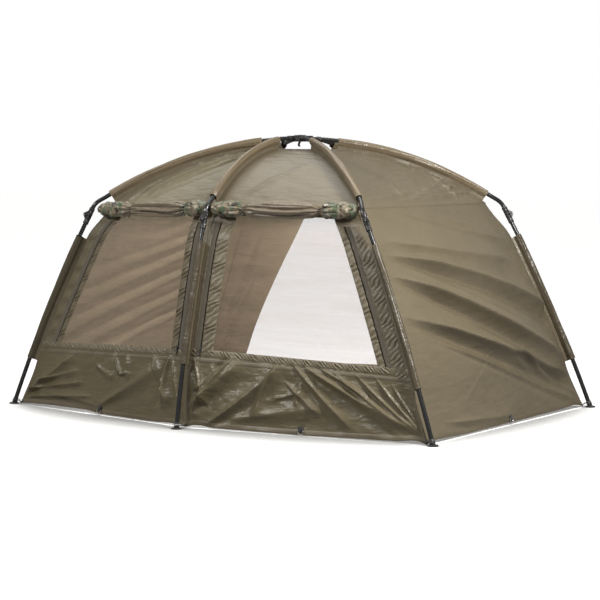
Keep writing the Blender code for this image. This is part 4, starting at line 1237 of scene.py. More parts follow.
def seams():
    """The taped shoulder seam and the turned hem of every wall, and the seams by the poles."""
    for name, gore in GORES.items():
        for rib in (gore.a, gore.b):
            n = rib.number
            owner = f"strip_{n}"
            high, low = ("header", "skirt") if name.startswith("front") else ("wall", "wall")
            for to_middle in (False, True):
                part = "middle" if to_middle else "strip"
                target = f"{name}_{high}_by_pole_{n}" if to_middle else owner
                hem_target = f"{name}_{low}_by_pole_{n}" if to_middle else owner
                trim(target, cross_band(f"shoulder_tape_{part}_{name}_{n}", gore, rib, 0.005,
                                        0.009, TAPE, 0.0014, to_middle, 6, 60))
                trim(hem_target, cross_band(f"hem_{part}_{name}_{n}", gore, rib,
                                            1 - 0.013 / gore.slant, 0.024, TAPE, 0.0018,
                                            to_middle, 6, 80))
            trim(owner, band(f"pole_seam_{name}_{n}", gore, rib, 0.0005, 0.009, 0.01, 0.99,
                             TAPE, 0.0014, 4, 60))


seams()


# Tubes


def run_along(points):
    """The length from the first point to each point."""
    return np.r_[0, np.cumsum(np.linalg.norm(np.diff(points, axis=0), axis=1))]


def sweep_frames(points):
    """Directions along and across a line of points, turned as little as possible."""
    along = unit(np.gradient(points, axis=0))
    side = np.cross(along[0], UP)
    if np.linalg.norm(side) < 1e-6:
        side = np.cross(along[0], (1.0, 0, 0))
    sides = []
    for direction in along:
        side = unit(side - direction * (side @ direction))
        sides.append(side)
    sides = np.array(sides)
    return sides, np.cross(along, sides)


def tube(name, points, radius, material, sides, capped=False):
    """A round tube along points; the radius may be a function of the share along it."""
    points = np.asarray(points, float)
    first, second = sweep_frames(points)
    steps, count = run_along(points), len(points) - 1

    def place(across, up):
        angle = 2 * np.pi * across
        index = np.rint(up * count).astype(int)
        reach = radius(up) if callable(radius) else radius
        x, y = reach * np.cos(angle), reach * np.sin(angle)
        found = points[index] + first[index] * x[..., None] + second[index] * y[..., None]
        size = 2 * np.pi * float(np.max(np.hypot(x, y)))
        return found, None, (across * size, steps[index])

    obj = grid_piece(name, [(sides, count, place, 0)], material)
    shape = bmesh.new()
    shape.from_mesh(obj.data)
    bmesh.ops.remove_doubles(shape, verts=shape.verts, dist=1e-6)
    if capped:
        bmesh.ops.holes_fill(shape, edges=[e for e in shape.edges if e.is_boundary], sides=0)
    bmesh.ops.recalc_face_normals(shape, faces=shape.faces)
    obj.data.clear_geometry()
    shape.to_mesh(obj.data)
    shape.free()
    for face in obj.data.polygons:
        face.use_smooth = len(face.vertices) <= 4
    obj.data.update()
    return obj


def smooth_line(points, count):
    """A Catmull-Rom line through points."""
    points = np.asarray(points, float)
    padded = np.vstack([2 * points[0] - points[1], points, 2 * points[-1] - points[-2]])
    spans = len(padded) - 3
    found = []
    for t in np.linspace(0, spans, count):
        i = min(int(t), spans - 1)
        f = t - i
        a, b, c, d = padded[i:i + 4]
        found.append(0.5 * (2 * b + (c - a) * f + (2 * a - 5 * b + 4 * c - d) * f**2
                            + (3 * b - a - 3 * c + d) * f**3))
    return np.array(found)


# Poles and sleeves

RIB_START, POLE_IN_SOCKET, LEG_START, LEG_END = 0.032, 0.020, 0.018, 0.030


def make_poles():
    for n, rib in RIBS.items():
        upper = rib.arc(np.linspace(RIB_START / rib.length, 1, 44))
        lower = rib.lower_bend(np.linspace(0.08, 1, 14))
        socket = (rib.knee - rib.leg_top * POLE_IN_SOCKET)[None]
        attach(tube(f"pole_rib_{n}", np.vstack([upper, lower, socket]), POLE_RADIUS, POLE, 20),
               f"rib_{n}_body", "pole", f"rib_{n}")
        first = rib.leg_share(KNEE_HEIGHT - LEG_START)
        last = 1 - LEG_END / np.linalg.norm(rib.foot - rib.knee)
        attach(tube(f"pole_leg_{n}", rib.leg(np.linspace(first, last, 30)), POLE_RADIUS, POLE, 20),
               f"leg_{n}_body", "pole", f"leg_{n}")


SLEEVE_POINTS, WEB_POINTS = 48, 7
SLEEVE_HALF_WIDTH, SLEEVE_STEP, SLEEVE_MOST_ROWS = 0.0165, 0.004, 260
# Where a sleeve's web leaves the pole, and where the sewn web ends
WEB_START, WEB_SEAM = 0.024, 0.025


def sleeve_section(reach, wide):
    """Across a sleeve: a flat web from the canopy, then the tunnel round the pole, and back."""
    half = [(reach, 0.0012), (reach * 0.80, 0.0012), (0.0255, 0.0016), (0.0205, 0.0060),
            (0.0125, wide * 0.80), (0.0030, wide), (-0.0080, wide * 0.88),
            (-0.0150, wide * 0.48), (-0.0168, 0.0)]
    back = [(x, -y) for x, y in reversed(half[:-1])]
    return smooth_line(half + back, SLEEVE_POINTS + 1)


def sleeve_piece(name, centres, along, edges, body, node, seed):
    """A cloth tunnel sewn to the canopy's edge, with long soft creases."""
    inward = edges - centres
    inward = unit(inward - along * dot(inward, along)[..., None])
    rows = int(np.linalg.norm(centres[-1] - centres[0]) / SLEEVE_STEP)
    rows = min(rows, SLEEVE_MOST_ROWS)
    picks = np.linspace(0, len(centres) - 1, rows + 1)
    low = np.floor(picks).astype(int).clip(0, len(centres) - 2)
    part = (picks - low)[:, None]

    def fine(values):
        return values[low] * (1 - part) + values[low + 1] * part

    centres, along, inward, edges = fine(centres), fine(along), unit(fine(inward)), fine(edges)
    side = np.cross(along, inward)
    reach = np.linalg.norm(edges - centres, axis=-1)
    run = run_along(centres)
    section = sleeve_section(WEB, SLEEVE_HALF_WIDTH)

    def stretch(first, last, slot):
        def place(across, up):
            index = np.rint((1 - up) * rows).astype(int)
            column = np.rint(first + across * (last - first)).astype(int)
            x, y = section[column, 0], section[column, 1]
            grown = (x - WEB_SEAM) * (reach[index] - WEB_SEAM) / (WEB - WEB_SEAM)
            x = np.where(x > WEB_SEAM, WEB_SEAM + grown, x)
            t, a = run[index], column / SLEEVE_POINTS * 2 * np.pi
            creases = 0.0024 * np.abs(np.sin(2.5 * a + 4 * t + seed)) * np.sin(7 * t + 2 * seed)
            creases = creases + 0.0020 * np.abs(np.sin(5 * a - 5 * t + seed)) * np.sin(5 * t + a)
            creases = creases + 0.0012 * np.sin(9 * a + 6 * t + 3 * seed) * np.sin(11 * t + seed)
            creases = creases - 0.0010
            onto_web = np.clip((WEB_START - x) / 0.010, 0, 1)
            grow = 1 + creases * onto_web / np.maximum(np.hypot(x, y), 0.004)
            ripple = 0.0022 * np.sin(21 * t + seed) * np.sin(60 * x + 9 * t)
            ripple = ripple * (1 - onto_web) * np.clip((reach[index] - x) / 0.02, 0, 1)
            found = (centres[index] + inward[index] * (x * grow)[..., None]
                     + side[index] * (y * grow + ripple)[..., None])
            return found, None, (column * 0.0028, t)

        return last - first, rows, place, slot

    parts = [stretch(0, WEB_POINTS, 1), stretch(WEB_POINTS, SLEEVE_POINTS - WEB_POINTS, 0),
             stretch(SLEEVE_POINTS - WEB_POINTS, SLEEVE_POINTS, 1)]
    # Sleeves on the ribs take the lighter copy of the sleeve cloth, which is painted light
    obj = grid_piece(name, parts, [RIB_SLEEVE_PAINTED_LIGHT if "rib" in node else SLEEVE, CANOPY])
    attach(obj, body, "sleeve_cloth", node)
    declare_cloth(obj)


def make_sleeves():
    for n, rib in RIBS.items():
        first = rib.share_at_radius(REAR_SLEEVE_TOP if n in (5, 6) else RIB_SLEEVE_TOP)
        centres = rib.arc(np.linspace(first, 0.985, 60))
        reach = np.full(len(centres), WEB + 0.001)
        along = unit(np.gradient(centres, axis=0))
        inward = rib.out * dot(along, UP)[:, None] - UP * dot(along, rib.out)[:, None]
        sleeve_piece(f"sleeve_rib_{n}", centres, along, centres + inward * reach[:, None],
                     f"rib_{n}_body", f"rib_sleeve_{n}", 0.7 * n)
        bottom = LEG_SLEEVE_BOTTOM + (END_SLEEVE_SHORTER if n in (2, 5) else 0)
        t = np.linspace(rib.leg_share(LEG_SLEEVE_TOP), rib.leg_share(bottom), 60)
        centres, along = rib.leg(t), rib.leg_along(t)
        fall = rib.shoulder[2] - rib.hem[2]
        edges = rib.edge((rib.shoulder[2] - centres[:, 2]) / fall)
        sleeve_piece(f"sleeve_leg_{n}", centres, along, edges, f"leg_{n}_body",
                     f"leg_sleeve_{n}", 1.3 * n + 2)


make_poles()
make_sleeves()


# Knuckles, feet and hub


def turned(name, profile, place, material, steps=32):
    """A closed turned solid: the profile (radius, height) spun about local Z, then placed."""
    shape = bmesh.new()
    previous = None
    for radius, height in profile:
        vert = shape.verts.new((radius, 0, height))
        if previous:
            shape.edges.new((previous, vert))
        previous = vert
    bmesh.ops.spin(shape, geom=list(shape.verts) + list(shape.edges), cent=(0, 0, 0),
                   axis=(0, 0, 1), angle=2 * math.pi, steps=steps, use_merge=True)
    bmesh.ops.remove_doubles(shape, verts=shape.verts, dist=1e-6)
    bmesh.ops.recalc_face_normals(shape, faces=shape.faces)
    shape.transform(place)
    return from_bmesh(name, shape, material)


def rounded_block(name, size, matrix, material, bevel=0.001):
    shape = bmesh.new()
    bmesh.ops.create_cube(shape, size=1)
    bmesh.ops.scale(shape, verts=shape.verts, vec=size)
    bmesh.ops.bevel(shape, geom=list(shape.edges), offset=bevel, segments=3, profile=0.5,
                    affect="EDGES", material=-1)
    shape.transform(matrix)
    return from_bmesh(name, shape, material)


def soften(obj, width, segments=2, angle=0.6):
    step = obj.modifiers.new("bevel", "BEVEL")
    step.width, step.segments, step.angle_limit = width, segments, angle
    step.limit_method = "ANGLE"
    return obj


def flipped(sign, axis):
    return Matrix.Identity(4) if sign > 0 else Matrix.Rotation(math.pi, 4, axis)


def turned_to(direction):
    """Turns local Z to a direction."""
    return Vector((0, 0, 1)).rotation_difference(Vector(direction)).to_matrix().to_4x4()


Z_TO_Y = Matrix.Rotation(-math.pi / 2, 4, "X")
# Across the hinge: where the ears start and end, and half the tongue between them
EAR_IN, EAR_OUT, TONGUE_HALF = 0.0034, 0.0074, 0.003
EAR_RADIUS, EAR_HEIGHT, RIVET_AT, RIVET_SUNK = 0.0066, 0.026, 0.0078, 0.0009
RIVET_PROFILE = [(0, 0.0014), (0.0022, 0.0012), (0.0036, 0.0006), (0.0042, -0.0006), (0, -0.0006)]


def ear(name, frame_matrix, low, high, reach, radius, height, material):
    """A flat moulded ear from the barrel to the hinge pin."""
    shape = bmesh.new()
    sign = 1 if height > 0 else -1
    outline = [(0.0, 0.0006 * sign), (0.0, height), (KNUCKLE_RADIUS * 0.8, height)]
    steps = 12
    taper = math.atan2(reach + radius - KNUCKLE_RADIUS, abs(height))
    for i in range(steps + 1):
        a = taper + (-math.pi * 0.5 - taper) * i / steps
        outline.append((reach + radius * math.cos(a), radius * math.sin(a) * sign))
    outline = [(x, y if y * sign > 0 else 0.0006 * sign) for x, y in outline]
    corners = [shape.verts.new((x, y, low)) for x, y in outline]
    base = shape.faces.new(corners)
    grown = bmesh.ops.extrude_face_region(shape, geom=[base])["geom"]
    tops = [v for v in grown if isinstance(v, bmesh.types.BMVert)]
    bmesh.ops.translate(shape, verts=tops, vec=(0, 0, high - low))
    bmesh.ops.remove_doubles(shape, verts=shape.verts, dist=1e-6)
    bmesh.ops.recalc_face_normals(shape, faces=shape.faces)
    shape.transform(frame_matrix)
    return soften(from_bmesh(name, shape, material, False), 0.0008)


def barrel(name, frame_matrix, sign, material):
    """One half's moulded socket: a ribbed barrel with a rolled lip where the pole enters."""
    r, long = KNUCKLE_RADIUS, KNUCKLE_LENGTH
    profile = [(0.0, 0.0006), (r - 0.0012, 0.0006), (r, 0.0020), (r, 0.0120), (r - 0.0009, 0.0132),
               (r - 0.0009, 0.0158), (r - 0.0003, 0.0170), (r - 0.0006, 0.0360),
               (r - 0.0002, 0.0375), (r + 0.0004, 0.0400), (r, long - 0.0012), (r - 0.0012, long),
               (POLE_RADIUS + 0.0003, long), (POLE_RADIUS + 0.0003, 0.0165), (0.0, 0.0165)]
    return turned(name, profile, frame_matrix @ flipped(sign, "Z") @ Z_TO_Y, material, 36)


def make_knuckles():
    for n, rib in RIBS.items():
        m = rib.knuckle_frame()
        upper, lower = f"rib_{n}_body", f"leg_{n}_body"
        attach(barrel(f"knuckle_upper_{n}", m, 1, NYLON), upper, "moulded_nylon", f"knuckle_{n}")
        attach(barrel(f"knuckle_lower_{n}", m, -1, NYLON), lower, "moulded_nylon",
               f"leg_knuckle_{n}")
        for side, low, high in (("a", EAR_IN, EAR_OUT), ("b", -EAR_OUT, -EAR_IN)):
            attach(ear(f"knuckle_ear_{side}_{n}", m, low, high, HINGE_OFFSET, EAR_RADIUS,
                       EAR_HEIGHT, NYLON), upper, "moulded_nylon")
        attach(ear(f"knuckle_tongue_{n}", m, -TONGUE_HALF, TONGUE_HALF, HINGE_OFFSET, EAR_RADIUS,
                   -EAR_HEIGHT, NYLON), lower, "moulded_nylon")
        for side, sign in (("a", 1), ("b", -1)):
            turn = flipped(sign, "X")
            place = m @ Matrix.Translation((HINGE_OFFSET, 0, sign * RIVET_AT)) @ turn
            attach(turned(f"hinge_rivet_{side}_{n}", RIVET_PROFILE, place, RIVET, 20), upper,
                   "pole")
            for half, y, body in (("upper", EAR_HEIGHT, upper), ("lower", -EAR_HEIGHT, lower)):
                z = sign * (KNUCKLE_RADIUS - RIVET_SUNK)
                place = m @ Matrix.Translation((0, y, z)) @ turn
                attach(turned(f"socket_rivet_{half}_{side}_{n}", RIVET_PROFILE, place, RIVET, 20),
                       body, "pole")


FOOT_RADIUS, FOOT_THICKNESS, FOOT_COLLAR, FOOT_LIP = 0.0245, 0.0045, 0.032, 0.006
FOOT_RISE, TOE_REACH, TOE_LIFT = 0.0022, 0.0015, 0.0012


def make_feet():
    for n, rib in RIBS.items():
        top = Vector(rib.leg(1 - FOOT_COLLAR / np.linalg.norm(rib.foot - rib.knee)))
        long = (top - Vector(rib.foot)).length
        profile = [(0, 0.004), (0.0125, 0.004), (0.0132, 0.008), (0.0130, long - 0.0015),
                   (0.0120, long), (0, long)]
        place = Matrix.Translation(Vector(rib.foot)) @ turned_to(-rib.leg_along(1.0))
        collar = turned(f"foot_collar_{n}", profile, place, NYLON, 28)
        shape = bmesh.new()
        bmesh.ops.create_circle(shape, cap_ends=True, segments=40, radius=FOOT_RADIUS)
        grown = bmesh.ops.extrude_face_region(shape, geom=list(shape.faces))["geom"]
        tops = [v for v in grown if isinstance(v, bmesh.types.BMVert)]
        bmesh.ops.translate(shape, verts=tops, vec=(0, 0, FOOT_THICKNESS))
        bmesh.ops.recalc_face_normals(shape, faces=shape.faces)
        rim = [f for f in shape.faces if f.normal.z > 0.9]
        bmesh.ops.inset_region(shape, faces=rim, thickness=FOOT_LIP)
        inner = [f for f in shape.faces
                 if f.normal.z > 0.9 and f.calc_center_median().length < 0.01]
        bmesh.ops.translate(shape, verts=list({v for f in inner for v in f.verts}),
                            vec=(0, 0, FOOT_RISE))
        outward = Vector(rib.leg_out)
        for v in shape.verts:
            toe = v.co.dot(outward)
            lift = TOE_LIFT * max(0, toe / FOOT_RADIUS) ** 2
            v.co += outward * (TOE_REACH if toe > 0 else 0) + Vector((0, 0, lift))
        shape.transform(Matrix.Translation(Vector(rib.foot)))
        plate = soften(from_bmesh(f"foot_plate_{n}", shape, NYLON, False), 0.0010)
        attach(collar, f"leg_{n}_body", "moulded_nylon")
        attach(plate, f"leg_{n}_body", "moulded_nylon", f"foot_{n}")


CAP_PROFILE = [(0, 0.0052), (0.010, 0.0051), (0.013, 0.0048), (0.0145, 0.0040), (0.020, 0.0038),
               (0.0265, 0.0034), (0.0305, 0.0027), (0.0330, 0.0016), (0.0337, 0.0006),
               (0.0335, 0.0), (0, 0.0)]
BOSS_PROFILE = [(0, 0.0022), (0.0060, 0.0020), (0.0078, 0.0008), (0.0080, -0.0070), (0, -0.0070)]
BORE = POLE_RADIUS - 0.002
FERRULE_PROFILE = [(BORE, 0.0), (0.0122, 0.0), (0.0128, 0.0012), (0.0128, 0.0215),
                   (0.0122, 0.0230), (BORE, 0.0230)]
CAP_CLEARANCE, BOSS_OUT, FERRULE_AT = 0.0003, 0.0125, 0.030
TONGUE_SIZE, TONGUE_AT, TONGUE_BEVEL = (0.052, 0.0076, 0.0170), 0.0165, 0.0018


def make_hub():
    """The moulded crown: a disc with a slot and two cheeks for each rib, and its cap."""
    node = bpy.data.objects["hub"]
    for slot in node.material_slots:
        slot.link = "OBJECT"
        slot.material = NYLON
    soften(node, 0.0012)
    place = Matrix.Translation((0, 0, HUB_HEIGHT + HUB_THICKNESS / 2 + CAP_CLEARANCE))
    attach(turned("hub_cap_dome", CAP_PROFILE, place, NYLON, 48), "hub_and_canopy",
           "moulded_nylon", "hub_cap")
    for n, rib in RIBS.items():
        side = Vector(rib.side)
        for s, sign in (("a", 1), ("b", -1)):
            at = Matrix.Translation(Vector(rib.pin) + side * (sign * BOSS_OUT))
            at = at @ turned_to(side) @ flipped(sign, "X")
            attach(turned(f"hub_boss_{s}_{n}", BOSS_PROFILE, at, NYLON, 20), "hub_and_canopy",
                   "moulded_nylon")
        a = float((rib.heading(0.0) + rib.heading(0.05)) / 2)
        direction = rib.out * math.cos(a) + UP * math.sin(a)
        across = np.cross(rib.side, direction)
        turn = Matrix((direction, rib.side, across)).transposed().to_4x4()
        at = Matrix.Translation(Vector(rib.pin + direction * TONGUE_AT)) @ turn
        attach(rounded_block(f"rib_tongue_{n}", TONGUE_SIZE, at, POLE, TONGUE_BEVEL),
               f"rib_{n}_body", "pole")
        share = FERRULE_AT / rib.length
        place = Matrix.Translation(Vector(rib.arc(share))) @ turned_to(rib.along(share))
        attach(turned(f"rib_ferrule_{n}", FERRULE_PROFILE, place, NYLON, 28), f"rib_{n}_body",
               "moulded_nylon")


def ribbon(name, points, wide, thick, across, material, columns=4):
    """A flat strap along points, as a thin closed band."""
    points = np.asarray(points, float)
    along = unit(np.gradient(points, axis=0))
    across = np.broadcast_to(np.asarray(across, float), points.shape)
    across = unit(across - along * dot(across, along)[:, None])
    run, count = run_along(points), len(points) - 1

    def place(over, up):
        index = np.rint(up * count).astype(int)
        return (points[index] + across[index] * ((over - 0.5) * wide)[..., None], None,
                (over * wide, run[index]))

    obj = grid_piece(name, [(columns, count, place, 0)], material)
    step = obj.modifiers.new("thickness", "SOLIDIFY")
    step.thickness, step.offset = thick, 0
    return obj


STRAP_END_HEIGHT = 1.3595


def make_hub_strap():
    top = HUB_HEIGHT - HUB_THICKNESS / 2
    line = smooth_line([(0.0, 0, top), (-0.006, 0, top - 0.008), (-0.009, 0.001, top - 0.016),
                        (-0.004, 0.0, STRAP_END_HEIGHT)], 16)
    strap = ribbon("hub_strap_webbing", line, 0.018, 0.0018, (0, 1, 0), WEBBING, 6)
    attach(strap, "hub_and_canopy", "webbing", "hub_strap")


make_knuckles()
make_feet()
make_hub()
make_hub_strap()

# Rolled doors

TIES = {"front_left": (0.30, 0.80), "front_right": (0.225, 0.745)}
ROLL_DROPS = {"front_left": (0.056, 0.040), "front_right": (0.039, 0.032)}
# Where the camouflaged lining shows, as shares of the roll
CAMO_SHARES = {"front_left": ((0.0, 0.25), (0.78, 1.0)), "front_right": ((0.0, 0.21), (0.78, 1.0))}
ROLL_POLE_GAP, ROLL_LIFT, ROLL_SAG, ROLL_KEEP = 0.014, 0.0381, 0.004, 0.25
ROLL_GIRTH, ROLL_STEP, ROLL_COLUMNS = 0.22, 0.0028, 110


def door_line(name):
    """The roll's straight centre line, lifted clear of the canopy, with its directions."""
    gore = GORES[name]
    start, end = (drop / gore.slant for drop in ROLL_DROPS[name])
    first = gore.plain(np.array(0.0), np.array(start))
    last = gore.plain(np.array(1.0), np.array(end))
    along = unit(last - first)
    out = gore.plain_normal(np.array(0.3), np.array(start + 0.02))
    first, last = first + out * ROLL_LIFT, last + out * ROLL_LIFT
    if name == "front_left":
        first = first - along * 0.006
        last = last - along * ((ROLL_POLE_GAP + last[0]) / along[0])
    else:
        first = first + along * ((ROLL_POLE_GAP - first[0]) / along[0])
        last = last + along * 0.006
    return first, last, along, out, np.cross(along, out)


def roll_section(name, t, angle, length):
    """The rolled cloth's radius: full at the ends, deeply fluted and drawn in at each tie."""
    x = t * length
    away = np.min([np.abs(x - tie * length) for tie in TIES[name]], axis=0)
    tight, fluted = np.exp(-((away / 0.020) ** 2)), np.exp(-((away / 0.075) ** 2))
    outer = smooth((TIES[name][0] - t) / 0.05) + smooth((t - TIES[name][1]) / 0.05)
    end = np.minimum(t, 1 - t) * length
    taper = 0.45 + 0.55 * np.sqrt(np.clip(end / 0.07, 0, 1))
    seed = 2.0 if name == "front_right" else 0.7
    slack = 0.0030 * np.sin(11 * x + 2 * seed)
    base = (0.0340 + 0.0040 * outer + slack * (1 - outer)) * taper * (1 - 0.50 * tight)
    drift = 0.8 * np.sin(6 * x + seed) + 0.4 * np.sin(17 * x + 2 * seed)
    flutes = np.abs(np.sin(4.5 * angle + drift)) + 0.35 * np.abs(np.sin(8.5 * angle - drift))
    ropes = np.abs(np.sin(3.0 * angle + 0.6 * drift)) + 0.30 * np.abs(
        np.sin(6.5 * angle + 0.9 * drift + seed))
    wraps = np.abs(np.sin(1.5 * angle + 42 * x + seed)) + 0.4 * np.abs(
        np.sin(2.5 * angle - 61 * x + 2 * seed))
    middle = (1 - fluted) * (1 - outer)
    crinkle = 0.0010 * np.sin(57 * x + 3 * angle) * np.sin(9 * angle - 31 * x)
    return (base + 0.0115 * fluted * (1 - 0.45 * tight) * (flutes - 0.85)
            + 0.0185 * middle * (ropes - 0.85) + 0.0070 * (1 - fluted) * outer * (wraps - 0.8)
            + crinkle)


def make_doors():
    for name in ("front_left", "front_right"):
        gore = GORES[name]
        first, last, along, out, across = door_line(name)
        length = float(np.linalg.norm(last - first))
        for half, (t0, t1), rib in (("left", (0.0, 0.5), gore.a), ("right", (0.5, 1.0), gore.b)):
            parts = []
            inside = [c for pair in CAMO_SHARES[name] for c in pair if t0 < c < t1]
            marks = sorted({t0, t1, *inside})
            for low, high in zip(marks, marks[1:]):
                middle = (low + high) / 2
                spotted = any(a <= middle <= b for a, b in CAMO_SHARES[name])

                def place(over, up, low=low, high=high):
                    t = low + (high - low) * up
                    angle = -2 * np.pi * over
                    radius = roll_section(name, t, angle, length)
                    sag = ROLL_SAG * np.sin(np.pi * t)
                    centre = first + along * (t * length)[..., None] - UP * sag[..., None]
                    point = (centre + out * (radius * np.cos(angle))[..., None]
                             + across * (radius * np.sin(angle))[..., None])
                    return point, None, (over * ROLL_GIRTH, t * length)

                rows = max(int((high - low) * length / ROLL_STEP), 8)
                parts.append((ROLL_COLUMNS, rows, place, 1 if spotted else 0))
            obj = grid_piece(f"{name}_door_roll_{half}", parts, [LINING, CAMOUFLAGE])
            axis = wall_axis(gore, rib)
            anchor = rib.edge(ROLL_DROPS[name][0] / gore.slant) + axis * 0.05
            nodes = [f"{name}_rolled_door"] if half == "left" else []

            def hang(obj, slot, *nodes, rib=rib, axis=axis, anchor=anchor):
                attach(obj, f"rib_{rib.number}_body", slot, *nodes)
                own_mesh(obj)

            hang(obj, "rolled_door_cloth", *nodes)
            for tie in TIES[name]:
                if t0 <= tie < t1:
                    make_tie(name, half, tie, first, along, out, across, length, hang)
            make_roll_end(name, half, first, along, out, across, length, hang)


def make_tie(name, half, tie, first, along, out, across, length, hang):
    """An elastic loop round the roll, with its toggle."""
    centre = first + along * tie * length - UP * 0.003
    angles = np.linspace(0, 2 * np.pi, 40)
    radius = roll_section(name, np.full(40, tie), -angles, length) + 0.0012
    ring = (centre + out * (radius * np.cos(angles))[:, None]
            + across * (radius * np.sin(angles))[:, None])
    tag = f"{name}_{half}_{int(tie * 100)}"
    hang(tube(f"door_tie_{tag}", ring, 0.0022, TAPE, 8), "webbing")
    at = centre + out * (radius[0] + 0.002)
    line = np.array([at - along * 0.011, at, at + along * 0.011])

    def bulge(s):
        return 0.0042 * np.sqrt(np.clip(1.02 - (2 * s - 1) ** 2 * 0.75, 0.1, 1))

    hang(tube(f"door_toggle_{tag}", smooth_line(line, 12), bulge, NYLON, 14, capped=True),
         "moulded_nylon")


def make_roll_end(name, half, first, along, out, across, length, hang):
    """The roll's spiral end: a scroll of cloth edges set just inside its mouth, and a near-black
    disc behind it that is painted shade in the roll's hollow.
    """
    t, sign = (0.0, 1) if half == "left" else (1.0, -1)
    centre = first + along * (t * length + sign * 0.0015)
    turns = np.linspace(0, 2 * np.pi * 3.2, 150)
    reach = 0.004 + 0.0165 * turns / turns[-1]
    flat = [(r * math.cos(a), r * math.sin(a)) for r, a in zip(reach, turns)]
    line = np.array([centre + out * x + across * y for x, y in flat])
    hang(ribbon(f"roll_scroll_{name}_{half}", line, 0.006, 0.0012, along, LINING, 2),
         "rolled_door_cloth")
    # A near-black disc inside the roll's mouth, painted shade for its hollow
    shape = bmesh.new()
    bmesh.ops.create_circle(shape, cap_ends=True, segments=40, radius=0.0215)
    turn = Matrix((out, across, along * sign)).transposed().to_4x4()
    shape.transform(Matrix.Translation(Vector(centre + along * sign * 0.004)) @ turn)
    layer = shape.loops.layers.uv.new("UVMap")
    for face in shape.faces:
        for corner in face.loops:
            corner[layer].uv = corner.vert.co.xz
    hang(from_bmesh(f"roll_mouth_shade_{name}_{half}", shape, SHADOW_GAP), "rolled_door_cloth")


make_doors()

# Sliders, rings, tabs, cords


def wall_frame(gore, u, r, lift=0.0):
    """Matrix with X across, Y up the wall and Z out of it, at a point on the cloth."""
    u, r = np.array(u), np.array(r)
    point = gore.cloth(u, r)
    z = gore.plain_normal(u, r)
    up = unit(gore.plain(u, r - 0.01) - gore.plain(u, r))
    x = unit(np.cross(up, z))
    turn = Matrix((x, np.cross(z, x), z)).transposed().to_4x4()
    return Matrix.Translation(Vector(point + z * lift)) @ turn


def placed(matrix, points):
    return np.array([matrix @ Vector(point) for point in points])


def make_sliders():
    for name, inset in (("front_left", 0.088), ("front_right", 0.058)):
        gore = GORES[name]
        r = gore.r_at_height(SKIRT_HEIGHT + 0.012)
        u = float(gore.share(inset, r, RIBS[2] is gore.b))
        m = wall_frame(gore, u, r, 0.0044)
        body = f"{name.removeprefix('front_')}_slider_body"
        made = [rounded_block(f"zip_slider_{name}", (0.0115, 0.0185, 0.0022), m, DARK_METAL),
                rounded_block(f"zip_slider_top_{name}", (0.0095, 0.0150, 0.0020),
                              m @ Matrix.Translation((0, 0.001, 0.0034)), DARK_METAL),
                rounded_block(f"zip_slider_post_{name}", (0.0040, 0.0060, 0.0030),
                              m @ Matrix.Translation((0, 0.004, 0.0015)), DARK_METAL, 0.0006)]
        loop = [(math.sin(a) * 0.0042, 0.003 + 0.003 * math.cos(a), 0.0058)
                for a in np.linspace(0, 2 * math.pi, 20)]
        made.append(tube(f"zip_loop_{name}", placed(m, loop), 0.0007, DARK_METAL, 8))
        pull = [(0.0, 0.001, 0.0056), (0.001, -0.006, 0.0052), (0.0015, -0.014, 0.0044),
                (0.0, -0.024, 0.0040), (-0.001, -0.032, 0.0042)]
        points = smooth_line(placed(m, pull), 24)
        across = np.array(m.to_3x3() @ Vector((1, 0, 0)))
        attach(ribbon(f"zip_pull_{name}", points, 0.0065, 0.0016, across, WEBBING), body,
               "webbing")
        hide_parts(f"{name}_zip_slider")
        for obj in made:
            attach(obj, body, "slider_metal")


def ring_tab(name, gore, u, rib):
    """A black webbing tab on the hem with a metal D ring."""
    m = wall_frame(gore, u, 1.0 - 0.022 / gore.slant, 0.0016)
    lines = [(0, 0.020, 0.0), (0, 0.008, 0.0016), (0, -0.003, 0.0024), (0, -0.006, 0.0046),
             (0, -0.003, 0.0062), (0, 0.008, 0.0050), (0, 0.019, 0.0024)]
    points = smooth_line(placed(m, lines), 36)
    across = np.array(m.to_3x3() @ Vector((1, 0, 0)))
    target = f"leg_{rib.number}_body"
    made = [attach(ribbon(f"hem_tab_{name}", points, 0.024, 0.0014, across, WEBBING), target,
                   "webbing")]
    ring = [(0.0145 * math.cos(a), -0.0045 + min(0.0, 0.017 * math.sin(a)), 0.0042)
            for a in np.linspace(-math.pi / 2, 1.5 * math.pi, 40)]
    ring = placed(m, ring)
    ring[:, 2] = np.maximum(ring[:, 2], 0.0022)
    made.append(attach(tube(f"hem_ring_{name}", ring, 0.0019, RING, 10), target, "slider_metal"))
    return made


def make_rings():
    for name, gore in GORES.items():
        rib = gore.a
        for obj in ring_tab(name, gore, 0.497 if name.startswith("front") else 0.5, rib):
            axis = wall_axis(gore, rib)
            anchor = rib.edge(0.5) + axis * strip_width(gore, rib)
            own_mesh(obj)


